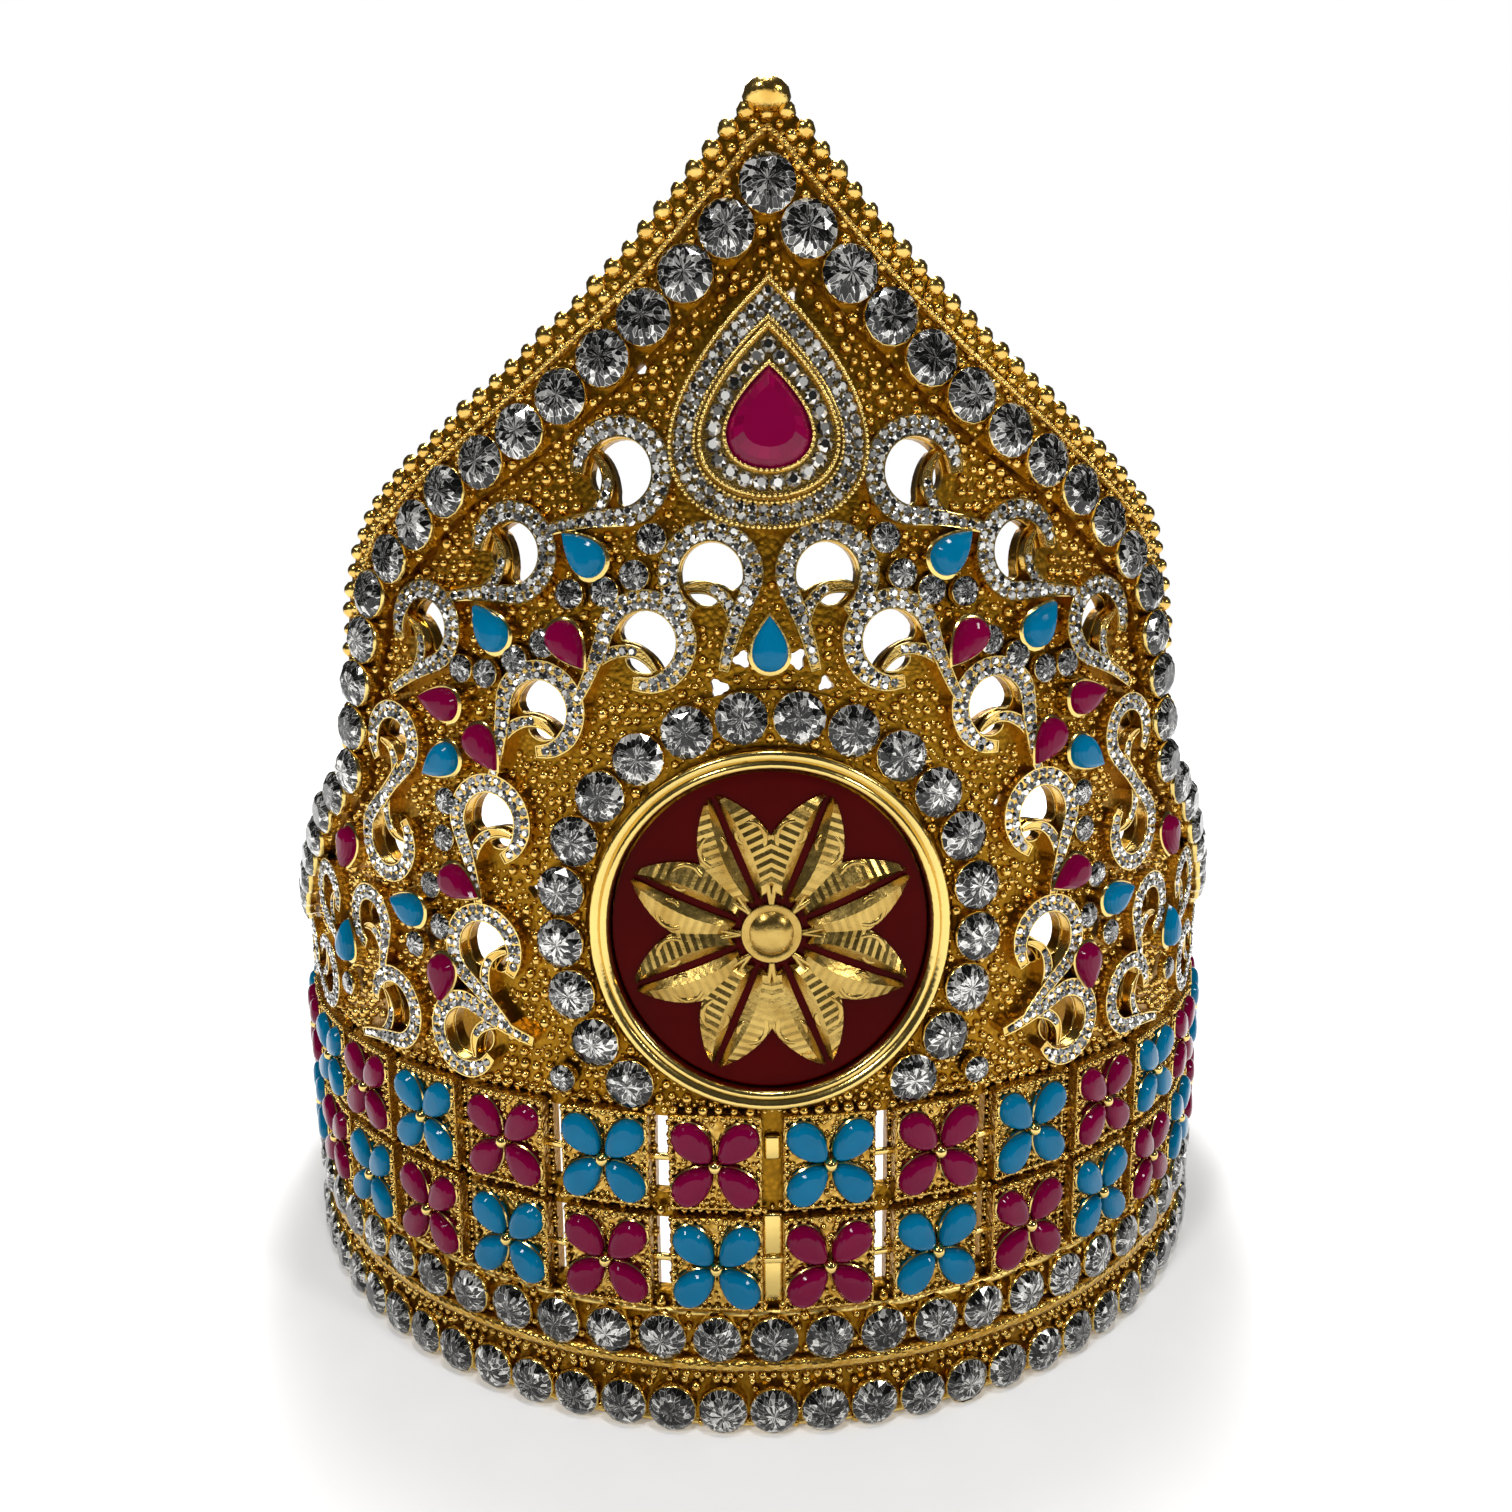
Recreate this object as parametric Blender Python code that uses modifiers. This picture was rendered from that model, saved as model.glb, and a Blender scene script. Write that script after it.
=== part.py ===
"""Ceremonial crown: a pierced gold wall bent round a head, set with rhinestones and drops.

Most pieces are drawn flat first. In that flat drawing X is the way round the crown at the
drawing radius, Y is the height above the table and Z is the height above the wall's outer face.
The function bend then lays the drawing round the vertical axis, with X = 0 at the front.
"""

import math

import bmesh
import bpy
from mathutils import Matrix, Vector

MM = 0.001

# Wall and band
WALL_RADIUS = 86.6 * MM
WALL_THICKNESS = 1.6 * MM
DRAWING_RADIUS = WALL_RADIUS + 2.0 * MM
CROWN_HEIGHT = 175.0 * MM
BAND_HEIGHT = 17.9 * MM
BAND_THICKNESS = 3.2 * MM
BAND_RELIEF = 1.0 * MM
BAND_SIDES = 48
RIDGE_HEIGHT = 10.2 * MM
RIDGE_WIDTH = 1.7 * MM
RIDGE_RELIEF = 1.2 * MM
SEAT_GAP = 0.3 * MM
JOINT_OVERLAP = 3.0 * MM
BEND_STEP = 5.0
FRAME_BEND_STEP = 10.0

# Tiles with four petals
COLUMN_ANGLE = 10.0
COLUMNS_PER_SIDE = 10
TILE_WIDTH = 12.6 * MM
TILE_HEIGHT = 12.4 * MM
TILE_THICKNESS = 1.5 * MM
TILE_ROW_GAP = 2.5 * MM
TILE_FOOT_GAP = 1.3 * MM
CROSS_BAR_HEIGHT = 1.5 * MM
CROSS_BAR_THICKNESS = 0.9 * MM
CROSS_BAR_STEP = 0.3 * MM
SLOT_WIDTH = 1.9 * MM
SLOT_HEIGHT = 11.2 * MM
PETAL_LENGTH = 5.7 * MM
PETAL_WIDTH = 4.4 * MM
PETAL_HEIGHT = 1.6 * MM
PETAL_CLEARANCE = 0.7 * MM
PETAL_ROOT = 0.4 * MM
PETAL_RIDGE = (0.288, -0.144)

# Rhinestones in cups
CUP_RADIUS = 3.35 * MM
CUP_DEPTH = 1.4 * MM
STONE_CROWN = 0.8 * MM
CUP_TRIM = 0.15 * MM
TABLE_RADIUS = 2.0 * MM
BOTTOM_STONE_ANGLE = 4.6
UPPER_STONE_ANGLE = 5.0
ARCH_STONE_PITCH = 6.95 * MM
BOTTOM_ROW_HEIGHT = 3.6 * MM
UPPER_ROW_HEIGHT = 14.5 * MM
ROW_END_ANGLE = 116.0

# Scrollwork panel
PANEL_GAP = 1.1 * MM
SCROLL_RADIUS = 6.0 * MM
SCROLL_WIDTH = 3.0 * MM
PANEL_RELIEF = 1.3 * MM
TAIL_LENGTH = 5.0 * MM
TAIL_END_WIDTH = 1.6 * MM
TAIL_DROP_SHARE = 0.62
RELIEF_ROOT_SHARE = 0.6
BORDER_WIDTH = 2.6 * MM
STONE_RAIL_WIDTH = 6.4 * MM
DROP_RIM = 0.5 * MM

# Medallion with its halo
MEDALLION_RADIUS = 24.2 * MM
MEDALLION_RIM_WIDTH = 2.7 * MM
MEDALLION_RIM_DEPTH = 3.2 * MM
ENAMEL_DEPTH = 1.2 * MM
ORNAMENT_RADIUS = 19.4 * MM
ORNAMENT_DEPTH = 0.8 * MM
ORNAMENT_POINTS = 8
ORNAMENT_HUB_SHARE = 0.2
MEDALLION_FOOT_GAP = 0.7 * MM
HALO_GAP = 0.8 * MM
HALO_STONES = 20
HALO_PITCH_ANGLE = 14.5

# Crest and drops
CREST_HALF_WIDTH = 11.9 * MM
CREST_HEIGHT = 28.6 * MM
CREST_RING_WIDTH = 2.9 * MM
CREST_CHANNEL_WIDTH = 0.8 * MM
CREST_FLOOR = 0.9 * MM
CREST_STEP = 0.25 * MM
CREST_OUTER_RELIEF = 1.9 * MM
CREST_INNER_RELIEF = 2.6 * MM
RUBY_DEPTH = 2.6 * MM
CREST_FOOT_SHARE = 0.60
CREST_INSET_DROP = 0.225
CREST_SIDES = 14
RUBY_TABLE_SHARE = 0.62
RUBY_GIRDLE_SHARE = 0.5
CENTRE_DROP_GAP = 2.1 * MM
DROP_LENGTH = 7.0 * MM
DROP_WIDTH = 4.6 * MM
DROP_DEPTH = 2.4 * MM
DROP_BELLY_SHARE = 0.8
DROP_BELLY_SHIFT = -0.03
DROP_BELLY_HEIGHT = 0.7
DROP_CROWN_SHIFT = -0.12
DROP_SWELL = 1.54

FIRST_TILE_FOOT = BAND_HEIGHT + TILE_FOOT_GAP
SECOND_TILE_FOOT = FIRST_TILE_FOOT + TILE_HEIGHT + TILE_ROW_GAP
PANEL_FOOT = SECOND_TILE_FOOT + TILE_HEIGHT + PANEL_GAP
MEDALLION_HEIGHT = PANEL_FOOT + MEDALLION_RADIUS + MEDALLION_FOOT_GAP
HALO_RADIUS = MEDALLION_RADIUS + HALO_GAP + CUP_RADIUS
CENTRE_DROP_HEIGHT = MEDALLION_HEIGHT + HALO_RADIUS + CUP_RADIUS + CENTRE_DROP_GAP + DROP_LENGTH / 2

# Edge of the wall from the peak to the band: angle from the front, share of the panel's height.
# A share below 0 is a share of the way down from the panel's foot to the top of the band.
EDGE = (
    (0.0, 1.0), (3.1, 0.971), (5.6, 0.937), (12.1, 0.856), (19.4, 0.787),
    (27.6, 0.724), (35.0, 0.671), (38.8, 0.640), (41.8, 0.596), (43.8, 0.545),
    (44.9, 0.480), (45.6, 0.405), (46.6, 0.368), (49.0, 0.340), (56.3, 0.263),
    (65.0, 0.186), (76.4, 0.122), (87.0, 0.088), (97.0, 0.076), (105.0, 0.054),
    (108.6, -0.060), (111.0, -0.270), (114.0, -0.580), (117.4, -0.850), (122.0, -1.0),
)

# Centre line of the arch stones, from the peak down, in the same measures.
ARCH_LINE = (
    (0.0, 0.906), (6.4, 0.828), (13.2, 0.755), (20.7, 0.692), (28.1, 0.642),
    (35.1, 0.579), (38.4, 0.542), (39.9, 0.495), (41.6, 0.445), (42.9, 0.389),
    (44.1, 0.338), (47.6, 0.306), (52.2, 0.268), (56.0, 0.224), (65.0, 0.142),
    (76.4, 0.079), (87.0, 0.047), (97.5, 0.031), (103.8, -0.030), (106.8, -0.290),
    (110.0, -0.620), (112.2, -0.790),
)

# Scrolls of one side: angle, share of the panel's height, size, way the tail points, hand.
SCROLLS = (
    (12.0, 0.654, 1.00, -15, 1), (21.8, 0.580, 0.97, -8, 1), (31.6, 0.506, 0.95, -30, 1),
    (4.7, 0.556, 0.97, -78, 1), (10.2, 0.490, 0.98, -58, -1), (19.8, 0.421, 0.98, -70, -1),
    (25.3, 0.301, 0.98, -98, -1), (26.6, 0.158, 0.98, -130, -1), (29.2, 0.056, 0.95, -165, 1),
    (39.1, 0.062, 0.95, -15, 1), (38.5, 0.266, 0.95, 128, 1), (36.9, 0.380, 0.86, -50, 1),
    (42.6, 0.160, 0.84, -84, 1), (52.8, 0.168, 0.84, -140, -1), (55.4, 0.056, 0.92, 20, 1),
    (63.4, 0.062, 0.74, -20, 1), (69.9, 0.036, 0.56, -10, 1),
)

# Drops of one side: angle, share of the panel's height, way the point looks, stone.
DROPS = (
    (15.2, 0.578, 45, "turquoise"), (24.1, 0.506, 55, "turquoise"),
    (16.7, 0.487, -125, "ruby"), (30.0, 0.427, 15, "ruby"),
    (25.3, 0.380, -125, "ruby"), (30.2, 0.362, -30, "turquoise"),
    (28.7, 0.229, 205, "ruby"), (35.6, 0.192, 20, "turquoise"),
    (31.4, 0.118, -85, "ruby"), (45.6, 0.243, -70, "ruby"),
    (47.2, 0.124, 100, "turquoise"),
)
PEAK_STONE_SHARE = ARCH_LINE[0][1]

# Corners of a scroll's round, as angles in degrees, for its outer edge and for its crescent opening.
SCROLL_ROUND = range(15, 286, 45)
CRESCENT_ROUND = range(62, 263, 50)

# Corners in shares of a scroll's outer radius, and of the radius inside its ribbon.
TAIL_ROOT = Vector((0.98, -0.30))
CRESCENT_TONGUE = (Vector((0.12, -0.60)), Vector((0.02, 0.05)), Vector((0.24, 0.55)))
LEAF = (Vector((0.60, 0.62)), Vector((0.46, 0.02)), Vector((0.62, -0.50)), Vector((0.96, 0.10)))

# The ornament's edge: share of the way to the next petal, share of the ornament's radius.
ORNAMENT_EDGE = ((0.0, 0.40), (0.25, 0.78), (0.5, 1.0), (0.75, 0.78))

# Corners of the opening in one petal: along it and across it, in shares of the ornament's radius.
ORNAMENT_OPENING = ((0.42, 0.0), (0.66, 0.13), (0.86, 0.0), (0.66, -0.13))


def material(name, colour, metallic, roughness):
    """A Principled BSDF material with the part's colour."""
    made = bpy.data.materials.new(name)
    made.use_nodes = True
    shader = made.node_tree.nodes["Principled BSDF"]
    shader.inputs["Base Color"].default_value = (*colour, 1.0)
    shader.inputs["Metallic"].default_value = metallic
    shader.inputs["Roughness"].default_value = roughness
    return made


def height_at(share):
    """Height of a share of the panel, or of the wall below the panel when it is under 0."""
    if share >= 0:
        return PANEL_FOOT + share * (CROWN_HEIGHT - PANEL_FOOT)
    return PANEL_FOOT + share * (PANEL_FOOT - BAND_HEIGHT)


def crest_height():
    """Height of the crest's middle, which stands between the centre drop and the peak stone."""
    low = CENTRE_DROP_HEIGHT + DROP_LENGTH / 2
    spare = height_at(PEAK_STONE_SHARE) - CUP_RADIUS - low - CREST_HEIGHT
    return low + CREST_FOOT_SHARE * spare + CREST_HEIGHT / 2


def flat(angle, height):
    """Place in the flat drawing of an angle from the front and a height."""
    return Vector((math.radians(angle) * DRAWING_RADIUS, height))


def chart(row):
    """Flat place of a table row that starts with an angle and a share of the panel."""
    return flat(row[0], height_at(row[1]))


def smooth(points, steps):
    """Points of a curve through the given points, with so many steps for each span."""
    ends = [2 * points[0] - points[1], *points, 2 * points[-1] - points[-2]]
    made = []
    for a, b, c, d in zip(ends, ends[1:], ends[2:], ends[3:]):
        for step in range(steps):
            t = step / steps
            made.append(
                0.5 * (2 * b + (c - a) * t + (2 * a - 5 * b + 4 * c - d) * t**2
                       + (3 * b - a - 3 * c + d) * t**3)
            )
    return [*made, points[-1]]


def directions(points):
    """Unit direction of a line of points at each of them."""
    before = [points[0], *points[:-1]]
    after = [*points[1:], points[-1]]
    return [(b - a).normalized() for a, b in zip(before, after)]


def left_of(direction):
    return Vector((-direction.y, direction.x))


def offset(points, distance):
    """The line of points moved to its left by a distance."""
    return [p + left_of(d) * distance for p, d in zip(points, directions(points))]


def both_sides(points):
    """A right-hand line that starts at the middle, with its mirror image before it."""
    mirrored = [Vector((-p.x, p.y)) for p in reversed(points[1:])]
    return mirrored + list(points)


def every(points, pitch):
    """Points spaced evenly along a line, as near to the pitch as they fit."""
    lengths = [0.0]
    for a, b in zip(points, points[1:]):
        lengths.append(lengths[-1] + (b - a).length)
    count = max(1, round(lengths[-1] / pitch))
    made = []
    span = 0
    for index in range(count + 1):
        at = lengths[-1] * index / count
        while span < len(points) - 2 and lengths[span + 1] < at:
            span += 1
        part = (at - lengths[span]) / (lengths[span + 1] - lengths[span])
        made.append(points[span].lerp(points[span + 1], part))
    return made


def link(name, mesh, collection, look=None):
    """An object of the mesh in the collection, with its material."""
    made = bpy.data.objects.new(name, mesh)
    collection.objects.link(made)
    if collection.hide_render:
        made.display_type = "WIRE"
    if look:
        mesh.materials.clear()
        mesh.materials.append(look)
    return made


def plate(name, outlines, low, high, collection):
    """Flat outlines, the inner ones as holes, given thickness between two heights."""
    curve = bpy.data.curves.new(name, "CURVE")
    curve.dimensions = "2D"
    curve.fill_mode = "BOTH"
    curve.extrude = (high - low) / 2
    for outline in outlines:
        spline = curve.splines.new("POLY")
        spline.points.add(len(outline) - 1)
        for point, place in zip(spline.points, outline):
            point.co = (place.x, place.y, 0.0, 1.0)
        spline.use_cyclic_u = True
    drawn = bpy.data.objects.new(name + "_curve", curve)
    collection.objects.link(drawn)
    evaluated = drawn.evaluated_get(bpy.context.evaluated_depsgraph_get())
    mesh = bpy.data.meshes.new_from_object(evaluated)
    bpy.data.objects.remove(drawn)
    mesh.name = name
    shape = bmesh.new()
    shape.from_mesh(mesh)
    bmesh.ops.remove_doubles(shape, verts=shape.verts, dist=1e-6)
    merge_flat_faces(shape)
    bmesh.ops.translate(shape, verts=shape.verts, vec=(0.0, 0.0, (low + high) / 2))
    finish(shape, mesh)
    return link(name, mesh, collection)


def prisms(name, outlines, low, high, collection):
    """One mesh object with an upright prism on each flat outline."""
    shape = bmesh.new()
    for outline in outlines:
        shape.faces.new([shape.verts.new(point) for point in raised(outline, low)])
    made = bmesh.ops.extrude_face_region(shape, geom=shape.faces[:])
    tops = [item for item in made["geom"] if isinstance(item, bmesh.types.BMVert)]
    bmesh.ops.translate(shape, verts=tops, vec=(0.0, 0.0, high - low))
    mesh = bpy.data.meshes.new(name)
    finish(shape, mesh)
    return link(name, mesh, collection)


def add_hull(shape, points):
    """Adds the convex hull of the points to the shape and returns its corners and faces."""
    verts = [shape.verts.new(point) for point in points]
    hull = bmesh.ops.convex_hull(shape, input=verts)
    faces = [item for item in hull["geom"] if isinstance(item, bmesh.types.BMFace)]
    bmesh.ops.delete(shape, geom=[vert for vert in verts if not vert.link_faces], context="VERTS")
    return verts, faces


def hulls(name, groups, collection):
    """One mesh object that holds the convex hull of each group of points."""
    shape = bmesh.new()
    for group in groups:
        add_hull(shape, group)
    mesh = bpy.data.meshes.new(name)
    finish(shape, mesh)
    return link(name, mesh, collection)


def merge_flat_faces(shape):
    """Merges neighbouring faces that lie in one plane."""
    bmesh.ops.dissolve_limit(
        shape, angle_limit=math.radians(0.2), verts=shape.verts, edges=shape.edges
    )


def finish(shape, mesh):
    """Turns every face of a closed shape outwards and writes it to the mesh."""
    bmesh.ops.recalc_face_normals(shape, faces=shape.faces)
    if shape.calc_volume(signed=True) < 0:
        bmesh.ops.reverse_faces(shape, faces=shape.faces)
    shape.to_mesh(mesh)
    shape.free()


def boolean(target, other, operation, merge=True):
    """Joins or cuts the target with the other mesh, which is then removed."""
    modifier = target.modifiers.new(operation.lower(), "BOOLEAN")
    modifier.operation = operation
    modifier.solver = "EXACT"
    modifier.object = other
    other.hide_render = True
    evaluated = target.evaluated_get(bpy.context.evaluated_depsgraph_get())
    mesh = bpy.data.meshes.new_from_object(evaluated)
    target.modifiers.clear()
    target.data = mesh
    bpy.data.objects.remove(other)
    if merge:
        shape = bmesh.new()
        shape.from_mesh(mesh)
        bmesh.ops.remove_doubles(shape, verts=shape.verts, dist=1e-6)
        merge_flat_faces(shape)
        finish(shape, mesh)


def cut_lines(made, step_angle, first_angle):
    """Cuts a flat drawing along upright lines, so that its wide faces can bend there."""
    shape = bmesh.new()
    shape.from_mesh(made.data)
    places = [vert.co.x for vert in shape.verts]
    step = flat(step_angle, 0).x
    first = flat(first_angle, 0).x
    lowest = math.ceil((min(places) - first) / step)
    highest = math.floor((max(places) - first) / step)
    for index in range(lowest, highest + 1):
        everything = shape.verts[:] + shape.edges[:] + shape.faces[:]
        bmesh.ops.bisect_plane(
            shape, geom=everything, dist=1e-6, plane_co=(first + index * step, 0, 0),
            plane_no=(1, 0, 0),
        )
    shape.to_mesh(made.data)
    shape.free()


def bend(made):
    """Lays a flat drawing round the vertical axis."""
    shape = bmesh.new()
    shape.from_mesh(made.data)
    bmesh.ops.triangulate(shape, faces=shape.faces)
    for vert in shape.verts:
        angle = vert.co.x / DRAWING_RADIUS
        radius = WALL_RADIUS + vert.co.z
        vert.co = (radius * math.sin(angle), -radius * math.cos(angle), vert.co.y)
    finish(shape, made.data)


def circle(centre, radius, sides):
    turn = 2 * math.pi / sides
    return [
        centre + Vector((math.cos(index * turn), math.sin(index * turn))) * radius
        for index in range(sides)
    ]


def raised(outline, height):
    """A flat outline at a height above the wall."""
    return [Vector((point.x, point.y, height)) for point in outline]


def drop_points(length, width, sides):
    """A teardrop about its own centre, with its point along +X."""
    made = []
    for index in range(sides):
        angle = 2 * math.pi * index / sides
        across = math.sin(angle) * math.sin(angle / 2) / DROP_SWELL
        made.append(Vector((math.cos(angle) * length / 2, across * width)))
    return made


def placed(points, centre, way=0.0, mirror=1):
    """Flat points turned by an angle in degrees, mirrored to the left if asked, and moved."""
    turn = Matrix.Rotation(math.radians(way), 2)
    made = [centre + turn @ point for point in points]
    return [Vector((point.x * mirror, point.y)) for point in made]


def round_points(angles):
    """Places on a circle of radius 1 at the given angles in degrees."""
    return [Vector((math.cos(math.radians(a)), math.sin(math.radians(a)))) for a in angles]


def turned_over(points, hand):
    """The points as they are for hand 1, and upside down for hand -1."""
    return [Vector((point.x, point.y * hand)) for point in points]


def scroll_outline(size, hand):
    """Outer edge of one scroll: a round that runs out into a tail along +X."""
    radius = size * SCROLL_RADIUS
    tip = Vector((radius + size * TAIL_LENGTH, -TAIL_DROP_SHARE * radius))
    half_end = Vector((0.0, TAIL_END_WIDTH / 2))
    made = [point * radius for point in round_points(SCROLL_ROUND)]
    return turned_over([*made, tip - half_end, tip + half_end, TAIL_ROOT * radius], hand)


def crescent_outline(size, hand):
    """The crescent opening inside a scroll, on the far side of its curled tongue."""
    radius = size * SCROLL_RADIUS - SCROLL_WIDTH
    made = [*round_points(CRESCENT_ROUND), *CRESCENT_TONGUE]
    return turned_over([point * radius for point in made], hand)


def leaf_outline(size, hand):
    """The small opening between a scroll's tongue and its tail."""
    radius = size * SCROLL_RADIUS - SCROLL_WIDTH
    return turned_over([point * radius for point in LEAF], hand)


def scroll_shapes(draw):
    """One outline for each scroll of both sides."""
    made = []
    for angle, share, size, way, hand in SCROLLS:
        centre = chart((angle, share))
        for mirror in (1, -1):
            made.append(placed(draw(size, hand), centre, way, mirror))
    return made


def trimmed(corner, joint, way):
    """A cup's corner, drawn back where it would pass the joint with the next cup."""
    beyond = (corner - joint).dot(way) + CUP_TRIM
    return corner - way * beyond if beyond > 0 else corner


def stone_chain(name, centres, seat, collection, look):
    """Round stones in cups that touch along a line, as one closed body above its seat."""
    ways = directions(centres)
    joints = [a.lerp(b, 0.5) for a, b in zip(centres, centres[1:])]
    joints = [centres[0] - ways[0] * CUP_RADIUS, *joints, centres[-1] + ways[-1] * CUP_RADIUS]
    joint_ways = [ways[0]]
    joint_ways += [(b - a).normalized() for a, b in zip(centres, centres[1:])]
    joint_ways.append(ways[-1])
    half_side = CUP_RADIUS * math.tan(math.pi / 8)
    foot = seat + SEAT_GAP
    girdle = foot + CUP_DEPTH
    shape = bmesh.new()
    open_faces = []
    for index, (centre, way) in enumerate(zip(centres, ways)):
        side = left_of(way)
        rim = []
        for at in (index, index + 1):
            across = left_of(joint_ways[at]) * half_side
            rim += [joints[at] + across, joints[at] - across]
        for across in (CUP_RADIUS, -CUP_RADIUS):
            for along in (half_side, -half_side):
                corner = centre + side * across + way * along
                for at, sense in ((index, -1), (index + 1, 1)):
                    corner = trimmed(corner, joints[at], joint_ways[at] * sense)
                rim.append(corner)
        table = [centre + way * TABLE_RADIUS, centre - way * TABLE_RADIUS]
        table += [centre + side * TABLE_RADIUS, centre - side * TABLE_RADIUS]
        points = raised(rim, foot) + raised(rim, girdle) + raised(table, girdle + STONE_CROWN)
        verts, faces = add_hull(shape, points)
        shared = {verts[0], verts[1], verts[8], verts[9]} if index else set()
        onward = {verts[2], verts[3], verts[10], verts[11]} if index < len(centres) - 1 else set()
        open_faces += [face for face in faces if set(face.verts) <= shared or set(face.verts) <= onward]
    bmesh.ops.delete(shape, geom=open_faces, context="FACES")
    bmesh.ops.remove_doubles(shape, verts=shape.verts, dist=1e-6)
    mesh = bpy.data.meshes.new(name)
    finish(shape, mesh)
    return link(name, mesh, collection, look)


def wall_outline():
    """The wall's whole edge in the flat drawing, from its left foot over the peak to its right foot."""
    edge = both_sides([chart(row) for row in EDGE])
    foot = BAND_HEIGHT - JOINT_OVERLAP
    return [Vector((edge[0].x, foot)), *edge, Vector((edge[-1].x, foot))]


def slot_shapes():
    """Upright slots between neighbouring tile columns, apart from the closed seam at the front."""
    made = []
    rows = (FIRST_TILE_FOOT, SECOND_TILE_FOOT)
    for foot in rows:
        middle = foot + TILE_HEIGHT / 2
        for column in range(1, COLUMNS_PER_SIDE):
            for mirror in (1, -1):
                centre = flat(column * COLUMN_ANGLE * mirror, middle)
                made.append([
                    centre + Vector((x * SLOT_WIDTH / 2, y * SLOT_HEIGHT / 2))
                    for x, y in ((-1, -1), (1, -1), (1, 1), (-1, 1))
                ])
    return made


def strip(line, left, right):
    """Outline of a strip along a line, from a distance on its left to one on its right."""
    return [*offset(line, left), *reversed(offset(line, -right))]


def border_outline():
    """The raised border: the wall's edge above the band and the same line further in."""
    return strip(both_sides([chart(row) for row in EDGE]), 0.0, BORDER_WIDTH)


def rail_outlines():
    """The raised rails that the arch stones and the halo stones stand on."""
    half = STONE_RAIL_WIDTH / 2
    return [strip(arch_centres()[::2], half, half), strip(halo_centres(), half, half)]


def drop_seats():
    """The raised seat of each drop, a little larger than the drop."""
    seat = drop_points(DROP_LENGTH + 2 * DROP_RIM, DROP_WIDTH + 2 * DROP_RIM, 8)
    made = [placed(seat, flat(0, CENTRE_DROP_HEIGHT), 90)]
    for angle, share, way, _ in DROPS:
        for mirror in (1, -1):
            made.append(placed(seat, chart((angle, share)), way, mirror))
    return made


def ring_from_profile(name, profile, sides, collection):
    """A ring turned from a closed profile of radius and height about the vertical axis."""
    mesh = bpy.data.meshes.new(name)
    edges = [(index, (index + 1) % len(profile)) for index in range(len(profile))]
    mesh.from_pydata([(radius, 0.0, height) for radius, height in profile], edges, [])
    made = link(name, mesh, collection)
    screw = made.modifiers.new("turn", "SCREW")
    screw.steps = sides
    screw.render_steps = sides
    screw.use_merge_vertices = True
    screw.merge_threshold = 0.00001
    screw.use_normal_calculate = True
    return made


def base_band(collection):
    """The closed band at the foot, with a raised ridge between its two rows of stones."""
    outer = WALL_RADIUS + BAND_RELIEF
    inner = outer - BAND_THICKNESS
    rise = RIDGE_WIDTH / 2
    profile = (
        (inner, BAND_HEIGHT), (outer, BAND_HEIGHT), (outer, RIDGE_HEIGHT + rise),
        (outer + RIDGE_RELIEF, RIDGE_HEIGHT), (outer, RIDGE_HEIGHT - rise), (outer, 0.0), (inner, 0.0),
    )
    return ring_from_profile("base_band", profile, BAND_SIDES, collection)


def build_frame(collection, cutters, gold):
    """The soldered gold body: band, slotted wall, pierced scrollwork panel and border."""
    frame = prisms("crown_frame", [wall_outline()], -WALL_THICKNESS, 0.0, collection)
    root = -RELIEF_ROOT_SHARE * WALL_THICKNESS
    relief = prisms("relief", [border_outline()], root, PANEL_RELIEF, cutters)
    for outline in [*rail_outlines(), *scroll_shapes(scroll_outline), *drop_seats()]:
        boolean(relief, prisms("raised_work", [outline], root, PANEL_RELIEF, cutters), "UNION")
    boolean(frame, relief, "UNION")
    openings = scroll_shapes(crescent_outline) + scroll_shapes(leaf_outline) + slot_shapes()
    holes = prisms("holes", openings, -2 * WALL_THICKNESS, 2 * PANEL_RELIEF, cutters)
    boolean(frame, holes, "DIFFERENCE")
    cut_lines(frame, FRAME_BEND_STEP, FRAME_BEND_STEP / 2)
    bend(frame)
    boolean(frame, base_band(cutters), "UNION", merge=False)
    frame.data.materials.clear()
    frame.data.materials.append(gold)
    return frame


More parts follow.
